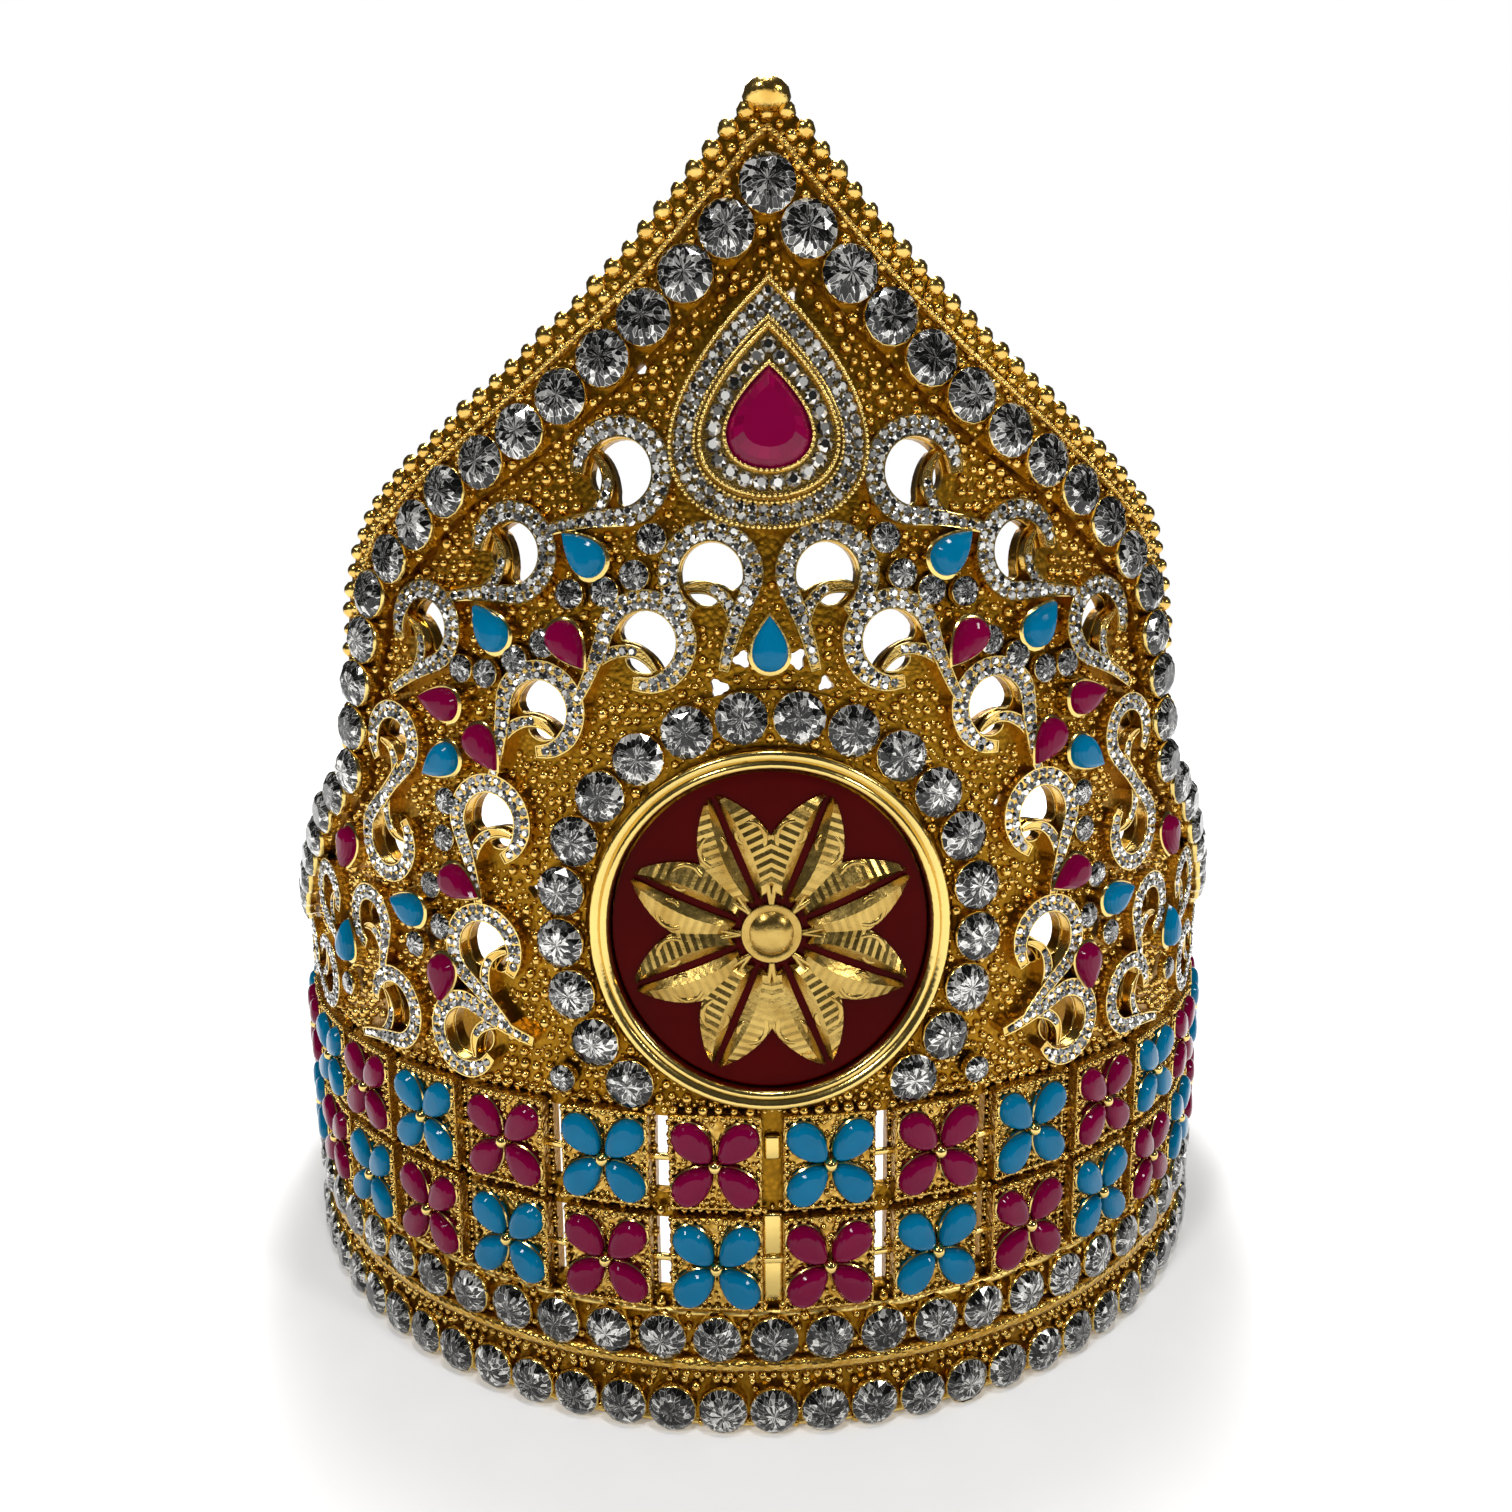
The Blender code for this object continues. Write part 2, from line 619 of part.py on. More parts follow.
def tile_row(name, foot, collection, cutters, look):
    """Raised tiles side by side, joined by small cross bars, each with four petals."""
    middle = foot + TILE_HEIGHT / 2
    end = (COLUMNS_PER_SIDE - 0.5) * COLUMN_ANGLE
    corners = (flat(-end, middle - CROSS_BAR_HEIGHT / 2), flat(end, middle - CROSS_BAR_HEIGHT / 2),
               flat(end, middle + CROSS_BAR_HEIGHT / 2), flat(-end, middle + CROSS_BAR_HEIGHT / 2))
    bar_back = SEAT_GAP + CROSS_BAR_STEP
    row = prisms(name, [corners], bar_back, bar_back + CROSS_BAR_THICKNESS, collection)
    face = SEAT_GAP + TILE_THICKNESS
    tiles = []
    petals = []
    for column in range(-COLUMNS_PER_SIDE, COLUMNS_PER_SIDE):
        centre = flat((column + 0.5) * COLUMN_ANGLE, middle)
        outline = [centre + Vector((x * TILE_WIDTH / 2, y * TILE_HEIGHT / 2))
                   for x, y in ((-1, -1), (1, -1), (1, 1), (-1, 1))]
        tiles.append(outline)
        for way in (45, 135, 225, 315):
            ahead = Vector((math.cos(math.radians(way)), math.sin(math.radians(way))))
            place = centre + ahead * (PETAL_LENGTH / 2 + PETAL_CLEARANCE)
            base = placed(drop_points(PETAL_LENGTH, PETAL_WIDTH, 5), place, way + 180)
            ridge = [place + ahead * PETAL_LENGTH * share for share in PETAL_RIDGE]
            petals.append(raised(base, face - PETAL_ROOT) + raised(ridge, face + PETAL_HEIGHT))
    boolean(row, prisms("tiles", tiles, SEAT_GAP, face, cutters), "UNION")
    boolean(row, hulls("petals", petals, cutters), "UNION")
    cut_lines(row, COLUMN_ANGLE, COLUMN_ANGLE / 2)
    bend(row)
    row.data.materials.clear()
    row.data.materials.append(look)
    return row


def arc_centres(centre, radius, count, pitch_angle):
    """Places spaced evenly on a circle about its top, from left to right over the top."""
    made = []
    for index in range(count):
        angle = math.radians((index - (count - 1) / 2) * pitch_angle)
        made.append(centre + Vector((math.sin(angle), math.cos(angle))) * radius)
    return made


def straight_centres(height, step_angle):
    """Places of a level stone row, from the front as far round as the rows go."""
    count = int(ROW_END_ANGLE / step_angle)
    return [flat(index * step_angle, height) for index in range(-count, count + 1)]


def arch_centres():
    """Places of the arch stones, from the left end over the peak to the right end."""
    line = smooth([chart(row) for row in ARCH_LINE], 4)
    return both_sides(every(line, ARCH_STONE_PITCH))


def halo_centres():
    """Places of the stones round the upper part of the medallion."""
    return arc_centres(flat(0, MEDALLION_HEIGHT), HALO_RADIUS, HALO_STONES, HALO_PITCH_ANGLE)


def build_stone_rows(collection, crystal):
    """The four rows of large round stones."""
    bottom = straight_centres(BOTTOM_ROW_HEIGHT, BOTTOM_STONE_ANGLE)
    upper = straight_centres(UPPER_ROW_HEIGHT, UPPER_STONE_ANGLE)
    rows = (
        ("bottom_stone_row", bottom, BAND_RELIEF), ("upper_stone_row", upper, BAND_RELIEF),
        ("arch_stone_row", arch_centres(), PANEL_RELIEF),
        ("halo_stone_row", halo_centres(), PANEL_RELIEF),
    )
    for name, centres, seat in rows:
        bend(stone_chain(name, centres, seat, collection, crystal))


def build_medallion(collection, gold, enamel):
    """Gold rim, enamel disc and the ornament that lies on the disc."""
    centre = flat(0, MEDALLION_HEIGHT)
    inner = MEDALLION_RADIUS - MEDALLION_RIM_WIDTH
    rim = [circle(centre, MEDALLION_RADIUS, 36), circle(centre, inner, 36)]
    disc = [circle(centre, inner - SEAT_GAP, 28)]
    enamel_top = SEAT_GAP + ENAMEL_DEPTH
    low = enamel_top + SEAT_GAP
    pieces = (
        (plate("medallion_rim", rim, SEAT_GAP, MEDALLION_RIM_DEPTH, collection), gold),
        (prisms("medallion_enamel", disc, SEAT_GAP, enamel_top, collection), enamel),
        (plate("medallion_ornament", ornament_outlines(centre), low, low + ORNAMENT_DEPTH,
               collection), gold),
    )
    for made, look in pieces:
        cut_lines(made, BEND_STEP, 0)
        bend(made)
        made.data.materials.append(look)


def ornament_outlines(centre):
    """A flower of pointed petals, each pierced, round a ring that is pierced too."""
    turn = 2 * math.pi / ORNAMENT_POINTS
    edge = []
    openings = []
    for index in range(ORNAMENT_POINTS):
        for part, reach in ORNAMENT_EDGE:
            angle = (index + part) * turn
            edge.append(centre + Vector((math.sin(angle), math.cos(angle))) * reach * ORNAMENT_RADIUS)
        angle = (index + 0.5) * turn
        ahead = Vector((math.sin(angle), math.cos(angle)))
        across = Vector((ahead.y, -ahead.x))
        openings.append([centre + (ahead * a + across * b) * ORNAMENT_RADIUS for a, b in ORNAMENT_OPENING])
    return [edge, *openings, circle(centre, ORNAMENT_HUB_SHARE * ORNAMENT_RADIUS, ORNAMENT_POINTS)]


def crest_outline(inset, sides):
    """Outline of the crest, drawn in from its outer edge by an inset."""
    length = CREST_HEIGHT - 2 * (1 + CREST_INSET_DROP) * inset
    points = drop_points(length, 2 * CREST_HALF_WIDTH - 2 * inset, sides)
    return placed(points, flat(0, crest_height() - CREST_INSET_DROP * inset), 90)


def build_crest(collection, cutters, gold, ruby):
    """The drop-shaped double ring under the peak, and the cut ruby in its middle."""
    outer_ring = CREST_RING_WIDTH
    inner_ring = outer_ring + CREST_CHANNEL_WIDTH
    pocket = inner_ring + CREST_RING_WIDTH
    floor = SEAT_GAP + CREST_FLOOR
    low = SEAT_GAP + CREST_FLOOR / 2
    base = [crest_outline(CREST_STEP, CREST_SIDES)]
    setting = prisms("crest_setting", base, SEAT_GAP, floor, collection)
    rings = ((0.0, outer_ring, CREST_OUTER_RELIEF), (inner_ring, pocket, CREST_INNER_RELIEF))
    for start, stop, relief in rings:
        outlines = [crest_outline(start, CREST_SIDES), crest_outline(stop, CREST_SIDES)]
        boolean(setting, plate("crest_ring", outlines, low, SEAT_GAP + relief, cutters), "UNION")
    cut_lines(setting, BEND_STEP, 0)
    bend(setting)
    setting.data.materials.clear()
    setting.data.materials.append(gold)
    edge = crest_outline(pocket + SEAT_GAP, CREST_SIDES)
    middle = flat(0, crest_height() - CREST_INSET_DROP * pocket)
    table = [middle.lerp(point, RUBY_TABLE_SHARE) for point in edge]
    girdle = floor + SEAT_GAP + RUBY_GIRDLE_SHARE * RUBY_DEPTH
    points = raised(edge, floor + SEAT_GAP) + raised(edge, girdle)
    points += raised(table, floor + SEAT_GAP + RUBY_DEPTH)
    stone = hulls("crest_ruby", [points], collection)
    bend(stone)
    stone.data.materials.append(ruby)


def drop_mesh(name, look):
    """A domed teardrop that points along +X and rises along +Z."""
    base = drop_points(DROP_LENGTH, DROP_WIDTH, 8)
    shift = Vector((DROP_BELLY_SHIFT * DROP_LENGTH, 0.0))
    belly = [point * DROP_BELLY_SHARE + shift for point in base]
    crown = [Vector((DROP_CROWN_SHIFT * DROP_LENGTH, 0.0))]
    shape = bmesh.new()
    points = raised(base, 0.0) + raised(belly, DROP_BELLY_HEIGHT * DROP_DEPTH) + raised(crown, DROP_DEPTH)
    add_hull(shape, points)
    mesh = bpy.data.meshes.new(name)
    finish(shape, mesh)
    mesh.materials.append(look)
    return mesh


def place_drop(name, mesh, angle, height, way, mirror, collection):
    """Sets a drop against the wall, its back one gap away from it."""
    made = bpy.data.objects.new(name, mesh)
    collection.objects.link(made)
    round_axis = math.radians(angle) * mirror
    radius = WALL_RADIUS + PANEL_RELIEF + SEAT_GAP
    out = Vector((math.sin(round_axis), -math.cos(round_axis), 0.0))
    along = Vector((math.cos(round_axis), math.sin(round_axis), 0.0))
    up = Vector((0.0, 0.0, 1.0))
    turn = math.radians(way if mirror == 1 else 180 - way)
    ahead = along * math.cos(turn) + up * math.sin(turn)
    across = out.cross(ahead)
    made.matrix_world = Matrix.Translation(out * radius + up * height) @ Matrix(
        (ahead, across, out)
    ).transposed().to_4x4()
    return made


def build_drops(collection, stones):
    """The centre drop and the drops of both sides."""
    meshes = {kind: drop_mesh("drop_" + kind, look) for kind, look in stones.items()}
    place_drop("drop_centre", meshes["turquoise"], 0, CENTRE_DROP_HEIGHT, 90, 1, collection)
    for mirror, side in ((-1, "left"), (1, "right")):
        for index, (angle, share, way, kind) in enumerate(DROPS, start=1):
            name = f"drop_{side}_{index:02d}"
            place_drop(name, meshes[kind], angle, height_at(share), way, mirror, collection)


def clear_scene():
    for made in list(bpy.data.objects):
        bpy.data.objects.remove(made)


def new_collection(name):
    made = bpy.data.collections.new(name)
    bpy.context.scene.collection.children.link(made)
    return made


def main():
    clear_scene()
    parts = new_collection("ceremonial_crown")
    cutters = new_collection("cutters")
    cutters.hide_render = True
    gold = material("gold", (0.80, 0.50, 0.10), 1.0, 0.28)
    crystal = material("crystal", (0.75, 0.76, 0.80), 0.4, 0.10)
    enamel = material("enamel", (0.12, 0.0, 0.01), 0.0, 0.12)
    ruby = material("ruby", (0.35, 0.0, 0.09), 0.0, 0.10)
    turquoise = material("turquoise", (0.0, 0.25, 0.45), 0.0, 0.15)
    petals = material("tile gold", (0.75, 0.45, 0.12), 1.0, 0.35)
    build_frame(parts, cutters, gold)
    tile_row("lower_tile_row", FIRST_TILE_FOOT, parts, cutters, petals)
    tile_row("upper_tile_row", SECOND_TILE_FOOT, parts, cutters, petals)
    build_stone_rows(parts, crystal)
    build_medallion(parts, gold, enamel)
    build_crest(parts, cutters, gold, ruby)
    build_drops(parts, {"turquoise": turquoise, "ruby": ruby})
    crown = bpy.data.objects.new("crown", None)
    parts.objects.link(crown)
    for made in parts.objects:
        if made is not crown:
            made.parent = crown


main()
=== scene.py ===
"""Looks of the ceremonial crown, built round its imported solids.

Long pieces are drawn flat: X is the way round the crown at DRAWING_RADIUS, Y is the height above
the table and Z is the height above the wall's outer face. The function bend lays them round the
vertical axis. Small pieces are made once about their own middle and set in place one by one.
"""

import math
import random

import bmesh
import bpy
from bpy.props import FloatProperty, FloatVectorProperty, IntProperty, PointerProperty
from mathutils import Matrix, Vector


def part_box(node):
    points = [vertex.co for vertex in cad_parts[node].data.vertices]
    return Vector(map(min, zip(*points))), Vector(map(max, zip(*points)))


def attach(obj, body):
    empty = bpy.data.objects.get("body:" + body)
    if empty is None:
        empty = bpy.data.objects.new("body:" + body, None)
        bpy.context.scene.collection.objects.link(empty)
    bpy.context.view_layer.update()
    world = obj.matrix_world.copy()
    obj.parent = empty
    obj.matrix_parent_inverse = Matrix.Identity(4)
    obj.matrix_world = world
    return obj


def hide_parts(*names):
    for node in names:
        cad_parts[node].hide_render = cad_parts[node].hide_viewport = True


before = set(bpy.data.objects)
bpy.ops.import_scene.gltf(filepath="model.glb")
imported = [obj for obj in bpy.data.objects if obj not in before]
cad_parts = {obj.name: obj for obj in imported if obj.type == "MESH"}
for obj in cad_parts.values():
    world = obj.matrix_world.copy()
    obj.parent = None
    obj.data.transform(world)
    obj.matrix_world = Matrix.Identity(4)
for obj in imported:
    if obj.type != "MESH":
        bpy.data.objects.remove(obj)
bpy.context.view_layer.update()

bl_info = {
    "name": "Ceremonial Crown",
    "version": (1, 0, 0),
    "blender": (4, 5, 0),
    "location": "3D Viewport > Sidebar > Crown",
    "description": "Builds the gold work, stones, drops and enamel of a ceremonial crown",
    "category": "Object",
}

MM = 0.001

# Wall and band. A relief is a height above the wall's outer face.
WALL_RADIUS = 86.6 * MM
DRAWING_RADIUS = WALL_RADIUS + 2.0 * MM
WALL_THICKNESS = 1.6 * MM
CROWN_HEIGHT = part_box("crown_frame")[1].z
BAND_HEIGHT = 17.9 * MM
BAND_RELIEF = 1.0 * MM
PANEL_RELIEF = 1.3 * MM
PANEL_FOOT = 47.6 * MM
RAIL_HALF_WIDTH = 3.2 * MM
RAIL_STEPS = 420
RIDGE_HEIGHT = 10.2 * MM
RIDGE_HALF_WIDTH = 0.85 * MM
SEAT_GAP = 0.3 * MM
# How far the rails and the scrolls' ribbons reach into the wall
RAIL_ROOT = 0.2 * MM
RIBBON_ROOT = 0.1 * MM

# Beads and wires along the edge, the band and the panel's foot
BORDER_INSET = 0.1 * MM
SECOND_ROW_INSET = BORDER_INSET + 3.1 * MM
WIRE_INSET = BORDER_INSET + 4.4 * MM
ROPE_PITCH = 0.86 * MM
ROPE_RADII = (0.38 * MM, 0.50 * MM)
CAP_RADIUS = 2.5 * MM
CAP_DROP = 2.1 * MM
TILE_FOOT_BEADS = 18.5 * MM
TILE_FOOT_BEAD_RADIUS = 0.85 * MM
TILE_FOOT_BEAD_ANGLE = 1.86
RIDGE_BEADS = (8.2 * MM, 12.2 * MM)
RIDGE_BEADS_END_ANGLE = 118.0
RIDGE_BEAD_RADII = (0.5 * MM, 0.72 * MM)
RIDGE_BEAD_ANGLE = 1.0
PANEL_FOOT_BEADS = 48.1 * MM
PANEL_BEADS_END_ANGLE = 104.0
PANEL_FOOT_BEAD_RADIUS = 0.62 * MM
PANEL_FOOT_BEAD_ANGLE = 1.25
FOOT_WIRE_HEIGHT = 0.7 * MM
BORDER_WIRE = 0.9 * MM
RIDGE_BAR = 2.0 * MM

# Granules. The fillers are the finest, which lie in the gaps between the panel's main granules.
FILLER_PITCH = 0.85 * MM
FILLER_RADII = (0.26 * MM, 0.42 * MM)
BAND_GRAIN_TRIES = 9000
BAND_GRAIN_HEIGHTS = (0.7 * MM, 17.4 * MM)
BAND_GRAIN_RADII = (0.45 * MM, 0.85 * MM)
RIDGE_CLEARANCE = 2.4 * MM
EDGE_CLEARANCE = 3.4 * MM
TAIL_CLEARANCE = 1.2 * MM
# Side of the squares in which a granule's neighbours are looked up
SCATTER_CELL = 1.7 * MM

# Tiles
COLUMN_ANGLE = 10.0
COLUMNS_PER_SIDE = 10
TILE_WIDTH = 12.6 * MM
TILE_HEIGHT = 13.6 * MM
TILE_FACE = 1.8 * MM
TILE_MIDDLES = (25.4 * MM, 40.3 * MM)
SLOT_WIDTH = 1.9 * MM
SLOT_HEIGHT = 11.2 * MM
PETAL_LENGTH = 6.7 * MM
PETAL_WIDTH = 4.6 * MM
PETAL_CLEARANCE = 0.85 * MM
PETAL_SINK = 0.3 * MM
EDGE_GRAINS = 11
EDGE_GRAIN_RADII = (0.40 * MM, 0.62 * MM)
GROUND_GRAINS = 110
GROUND_GRAIN_RADII = (0.30 * MM, 0.5 * MM)
SLOT_GRAINS = 13
SLOT_GRAIN_RADII = (0.35 * MM, 0.62 * MM)
GAP_GRAIN_ANGLE = 0.72
GAP_GRAIN_RADII = (0.4 * MM, 0.75 * MM)
# Bars over the slots: width, length, depth and softness in mm. The plates over the middle slot
# have their height and lift before these four.
BAR = (2.9, 0.9, 0.8, 0.25)
FRONT_PLATES = (
    (42.0, 0.5, 2.2, 3.4, 0.9, 0.3), (22.3, 0.5, 2.7, 6.2, 0.9, 0.3),
    (29.2, 0.5, 2.7, 6.2, 0.9, 0.3), (25.7, 0.7, 3.0, 1.0, 1.3, 0.25),
)

# Rows of large stones
CUP_RADIUS = 3.35 * MM
GIRDLE_LIFT = 1.45 * MM
BOTTOM_STONE_ANGLE = 4.6
UPPER_STONE_ANGLE = 5.0
ARCH_STONE_PITCH = 6.95 * MM
BOTTOM_ROW_HEIGHT = 3.6 * MM
UPPER_ROW_HEIGHT = 14.5 * MM
ROW_END_ANGLE = 116.0

# Cut stones of radius 1, ring by ring from the table down: sides, turn, radius, height.
BRILLIANT = ((8, 0.0, 0.55, 0.30), (8, 0.5, 0.80, 0.20), (16, 0.0, 1.0, 0.02), (8, 0.0, 0.8, -0.42))
FINE_STONE = ((8, 0.0, 0.56, 0.42), (8, 0.5, 1.0, 0.0), (4, 0.0, 0.6, -0.5))
# Greatest lean of a large stone, a ribbon's stone and a crest's stone, in degrees
STONE_LEAN = 4.0
RIBBON_STONE_LEAN = 9.0
CREST_STONE_LEAN = 8.0
# Section of a cup for a stone of radius 1: radius, height.
CUP_SECTION = ((0.80, -0.62), (0.93, -0.62), (1.0, -0.20), (0.995, 0.0), (0.96, 0.03), (0.90, -0.16))

# Domes from the foot up: share of the outline, share of the height.
PETAL_STEPS = (
    (1.0, 0.40), (0.98, 0.55), (0.92, 0.70), (0.81, 0.83), (0.65, 0.925), (0.44, 0.98), (0.20, 1.0),
)
DROP_STEPS = ((1.0, 0.30), (0.97, 0.52), (0.88, 0.74), (0.70, 0.90), (0.42, 0.985), (0.18, 1.0))

# Scrolls
SCROLL_RADIUS = 6.7 * MM
TAIL_LENGTH = 5.0 * MM
TONGUE_HALF_WIDTH = 0.78 * MM
TONGUE_DROP = 0.3 * MM
SMALL_STONE_LIFT = 2.0 * MM

# Medallion with its halo, crest and drops
MEDALLION_HEIGHT = 72.5 * MM
MEDALLION_RADIUS = 24.2 * MM
ORNAMENT_RADIUS = 19.4 * MM
ORNAMENT_POINTS = 8
BLADE_POINTS = 27
CURL_WIRE = 0.85 * MM
HALO_RADIUS = 28.35 * MM
HALO_STONES = 20
HALO_PITCH_ANGLE = 14.5
CREST_MIDDLE = 138.3 * MM
CREST_HALF_WIDTH = 11.9 * MM
CREST_HEIGHT = 28.6 * MM
CREST_RING_WIDTH = 2.9 * MM
CREST_CHANNEL_WIDTH = 0.8 * MM
CREST_INSET_DROP = 0.225
CREST_RING_HEIGHTS = (2.1 * MM, 2.8 * MM)
CREST_BASE_HEIGHT = 0.9 * MM
CREST_WIRE = 0.45 * MM
CREST_MILLING_RADII = (0.28 * MM, 0.36 * MM)
CREST_MILLING_PITCH = 0.66 * MM
CREST_STONE_RADIUS = 0.98 * MM
CENTRE_DROP_HEIGHT = 109.8 * MM
DROP_LENGTH = 7.0 * MM
DROP_WIDTH = 4.6 * MM
DROP_DEPTH = 2.4 * MM

# Edge of the wall from the peak to the band: angle from the front, share of the panel's height.
# A share below 0 is a share of the way down from the panel's foot to the top of the band.
EDGE = (
    (0.0, 1.0), (3.1, 0.971), (5.6, 0.937), (12.1, 0.856), (19.4, 0.787),
    (27.6, 0.724), (35.0, 0.671), (38.8, 0.640), (41.8, 0.596), (43.8, 0.545),
    (44.9, 0.480), (45.6, 0.405), (46.6, 0.368), (49.0, 0.340), (56.3, 0.263),
    (65.0, 0.186), (76.4, 0.122), (87.0, 0.088), (97.0, 0.076), (105.0, 0.054),
    (108.6, -0.060), (111.0, -0.270), (114.0, -0.580), (117.4, -0.850), (122.0, -1.0),
)

# Centre line of the arch stones, from the peak down, in the same measures.
ARCH_LINE = (
    (0.0, 0.906), (6.4, 0.828), (13.2, 0.755), (20.7, 0.692), (28.1, 0.642),
    (35.1, 0.579), (38.4, 0.542), (39.9, 0.495), (41.6, 0.445), (42.9, 0.389),
    (44.1, 0.338), (47.6, 0.306), (52.2, 0.268), (56.0, 0.224), (65.0, 0.142),
    (76.4, 0.079), (87.0, 0.047), (97.5, 0.031), (103.8, -0.030), (106.8, -0.290),
    (110.0, -0.620), (112.2, -0.790),
)

# Scrolls of one side: angle, share of the panel's height, size, way the tail points, hand.
SCROLLS = (
    (12.0, 0.654, 1.00, -15, 1), (21.8, 0.580, 0.97, -8, 1), (31.6, 0.506, 0.95, -30, 1),
    (4.7, 0.556, 0.97, -78, 1), (10.2, 0.490, 0.98, -58, -1), (19.8, 0.421, 0.98, -70, -1),
    (25.3, 0.301, 0.98, -98, -1), (26.6, 0.158, 0.98, -130, -1), (29.2, 0.056, 0.95, -165, 1),
    (39.1, 0.062, 0.95, -15, 1), (38.5, 0.266, 0.95, 128, 1), (36.9, 0.380, 0.86, -50, 1),
    (42.6, 0.160, 0.84, -84, 1), (52.8, 0.168, 0.84, -140, -1), (55.4, 0.056, 0.92, 20, 1),
    (63.4, 0.062, 0.74, -20, 1), (69.9, 0.036, 0.56, -10, 1),
)

# Drops of one side: angle, share of the panel's height, way the point looks, stone.
DROPS = (
    (15.2, 0.578, 45, "turquoise"), (24.1, 0.506, 55, "turquoise"),
    (16.7, 0.487, -125, "ruby"), (30.0, 0.427, 15, "ruby"),
    (25.3, 0.380, -125, "ruby"), (30.2, 0.362, -30, "turquoise"),
    (28.7, 0.229, 205, "ruby"), (35.6, 0.192, 20, "turquoise"),
    (31.4, 0.118, -85, "ruby"), (45.6, 0.243, -70, "ruby"),
    (47.2, 0.124, 100, "turquoise"),
)

# Small round stones of one side: way round from the front and height, in millimetres.
SMALL_STONES = (
    (14.6, 122.8), (16.9, 118.4), (20.9, 116.4), (25.6, 116.2), (29.6, 110.0), (33.9, 107.9),
    (38.6, 106.0), (42.6, 106.6), (46.6, 88.3), (47.3, 83.0), (50.4, 75.9), (48.9, 70.0),
    (54.4, 66.5), (29.1, 50.9), (75.0, 55.6),
)

# Small openings in the ground: way round from the front, height and radius, in millimetres.
PINHOLES = (
    (-16.5, 144.0, 1.3), (3.0, 151.6, 0.7), (3.6, 107.8, 1.2), (-3.6, 107.8, 1.0), (-6.6, 104.2, 1.1),
    (7.4, 104.6, 0.9), (26.5, 104.4, 1.0), (-26.9, 103.6, 0.8), (33.0, 88.0, 0.8), (-33.4, 76.4, 0.9),
)

# Camera close in front of the crown, with its focal length in the photo's pixels
PHOTO_WIDTH = 1512.0
FOCAL_LENGTH = 1000.0
CAMERA_DISTANCE = 213.6 * MM
CAMERA_HEIGHT = 114.0 * MM
# Degrees: how far round the camera stands, and how far it is turned, tipped and rolled from there.
CAMERA_ANGLES = (-1.5, -0.22, 8.3, -0.45)

# Soft lights, which all look at a point above the table: place, power in watts, width in metres.
LIGHTS = (
    ((-0.55, -0.75, 0.95), 4.6, 0.16), ((0.75, -0.65, 0.60), 2.5, 0.13), ((0.0, 0.75, 0.85), 4.5, 0.5),
    ((0.05, -0.35, 1.1), 2.4, 0.12), ((0.0, 0.02, 0.55), 2.4, 0.12),
)
LIGHTS_AIM = Vector((0.0, 0.0, 0.08))


def millimetres(name, default, low, high, about):
    """A length property of the add-on."""
    return FloatProperty(
        name=name, description=about, default=default * MM, min=low * MM, max=high * MM,
        subtype="DISTANCE", unit="LENGTH", precision=5,
    )


def colour(name, default, about):
    """A colour property of the add-on."""
    return FloatVectorProperty(
        name=name, description=about, default=default, min=0.0, max=1.0, size=3, subtype="COLOR"
    )


class CrownSizes(bpy.types.PropertyGroup):
    """Sizes of the crown's fine work."""

    ribbon_width: millimetres("Ribbon width", 2.4, 2.0, 3.2, "Width of the scrolls' ribbons")
    ribbon_height: millimetres("Ribbon height", 1.9, 1.4, 2.6, "Height of the ribbons above the wall")
    fine_stone: millimetres("Fine stone", 1.36, 1.0, 1.6, "Width of the stones on the ribbons")
    small_stone: millimetres("Small stone", 3.9, 2.5, 4.4, "Width of the small round stones")
    wire: millimetres("Edge wire", 0.34, 0.2, 0.6, "Thickness of the ribbons' edge wires")
    border_bead: millimetres("Border bead", 2.7, 1.0, 3.0, "Width of the beads along the edge")
    small_bead: millimetres("Small bead", 1.9, 0.6, 2.4, "Width of the beads in the second row")
    granule_small: millimetres("Smallest granule", 1.15, 0.4, 1.5, "Least width of the main granules")
    granule_large: millimetres("Largest granule", 1.9, 0.8, 2.4, "Greatest width of the main granules")
    petal_height: millimetres("Petal height", 2.2, 1.0, 2.6, "Height of a petal above its tile")
    seed: IntProperty(name="Seed", description="Pattern of the scattered granules", default=7, min=0)


class CrownColours(bpy.types.PropertyGroup):
    """Colours of the crown's metals and stones."""

    gold: colour("Gold", (0.74, 0.54, 0.17), "Polished gold")
    # Painted shade: this is a darker, more orange gold that stands in for the shade and bounced light in
    # the recesses.
    amber_shade: colour("Amber gold", (0.32, 0.155, 0.010), "Gold in the recesses")
    ruby: colour("Ruby", (0.145, 0.0, 0.028), "Red drops and petals")
    turquoise: colour("Turquoise", (0.0, 0.125, 0.250), "Blue drops and petals")
    enamel: colour("Enamel", (0.045, 0.0, 0.0), "Ground of the medallion")
    floor: colour("Floor", (0.92, 0.92, 0.92), "Floor under the crown")


# Places in the flat drawing


def height_at(share):
    """Height of a share of the panel, or of the wall below the panel when it is under 0."""
    if share >= 0:
        return PANEL_FOOT + share * (CROWN_HEIGHT - PANEL_FOOT)
    return PANEL_FOOT + share * (PANEL_FOOT - BAND_HEIGHT)


def flat(angle, height):
    """Flat place of an angle from the front in degrees and a height."""
    return Vector((math.radians(angle) * DRAWING_RADIUS, height))


def chart(row):
    """Flat place of a table row that starts with an angle and a share of the panel."""
    return flat(row[0], height_at(row[1]))


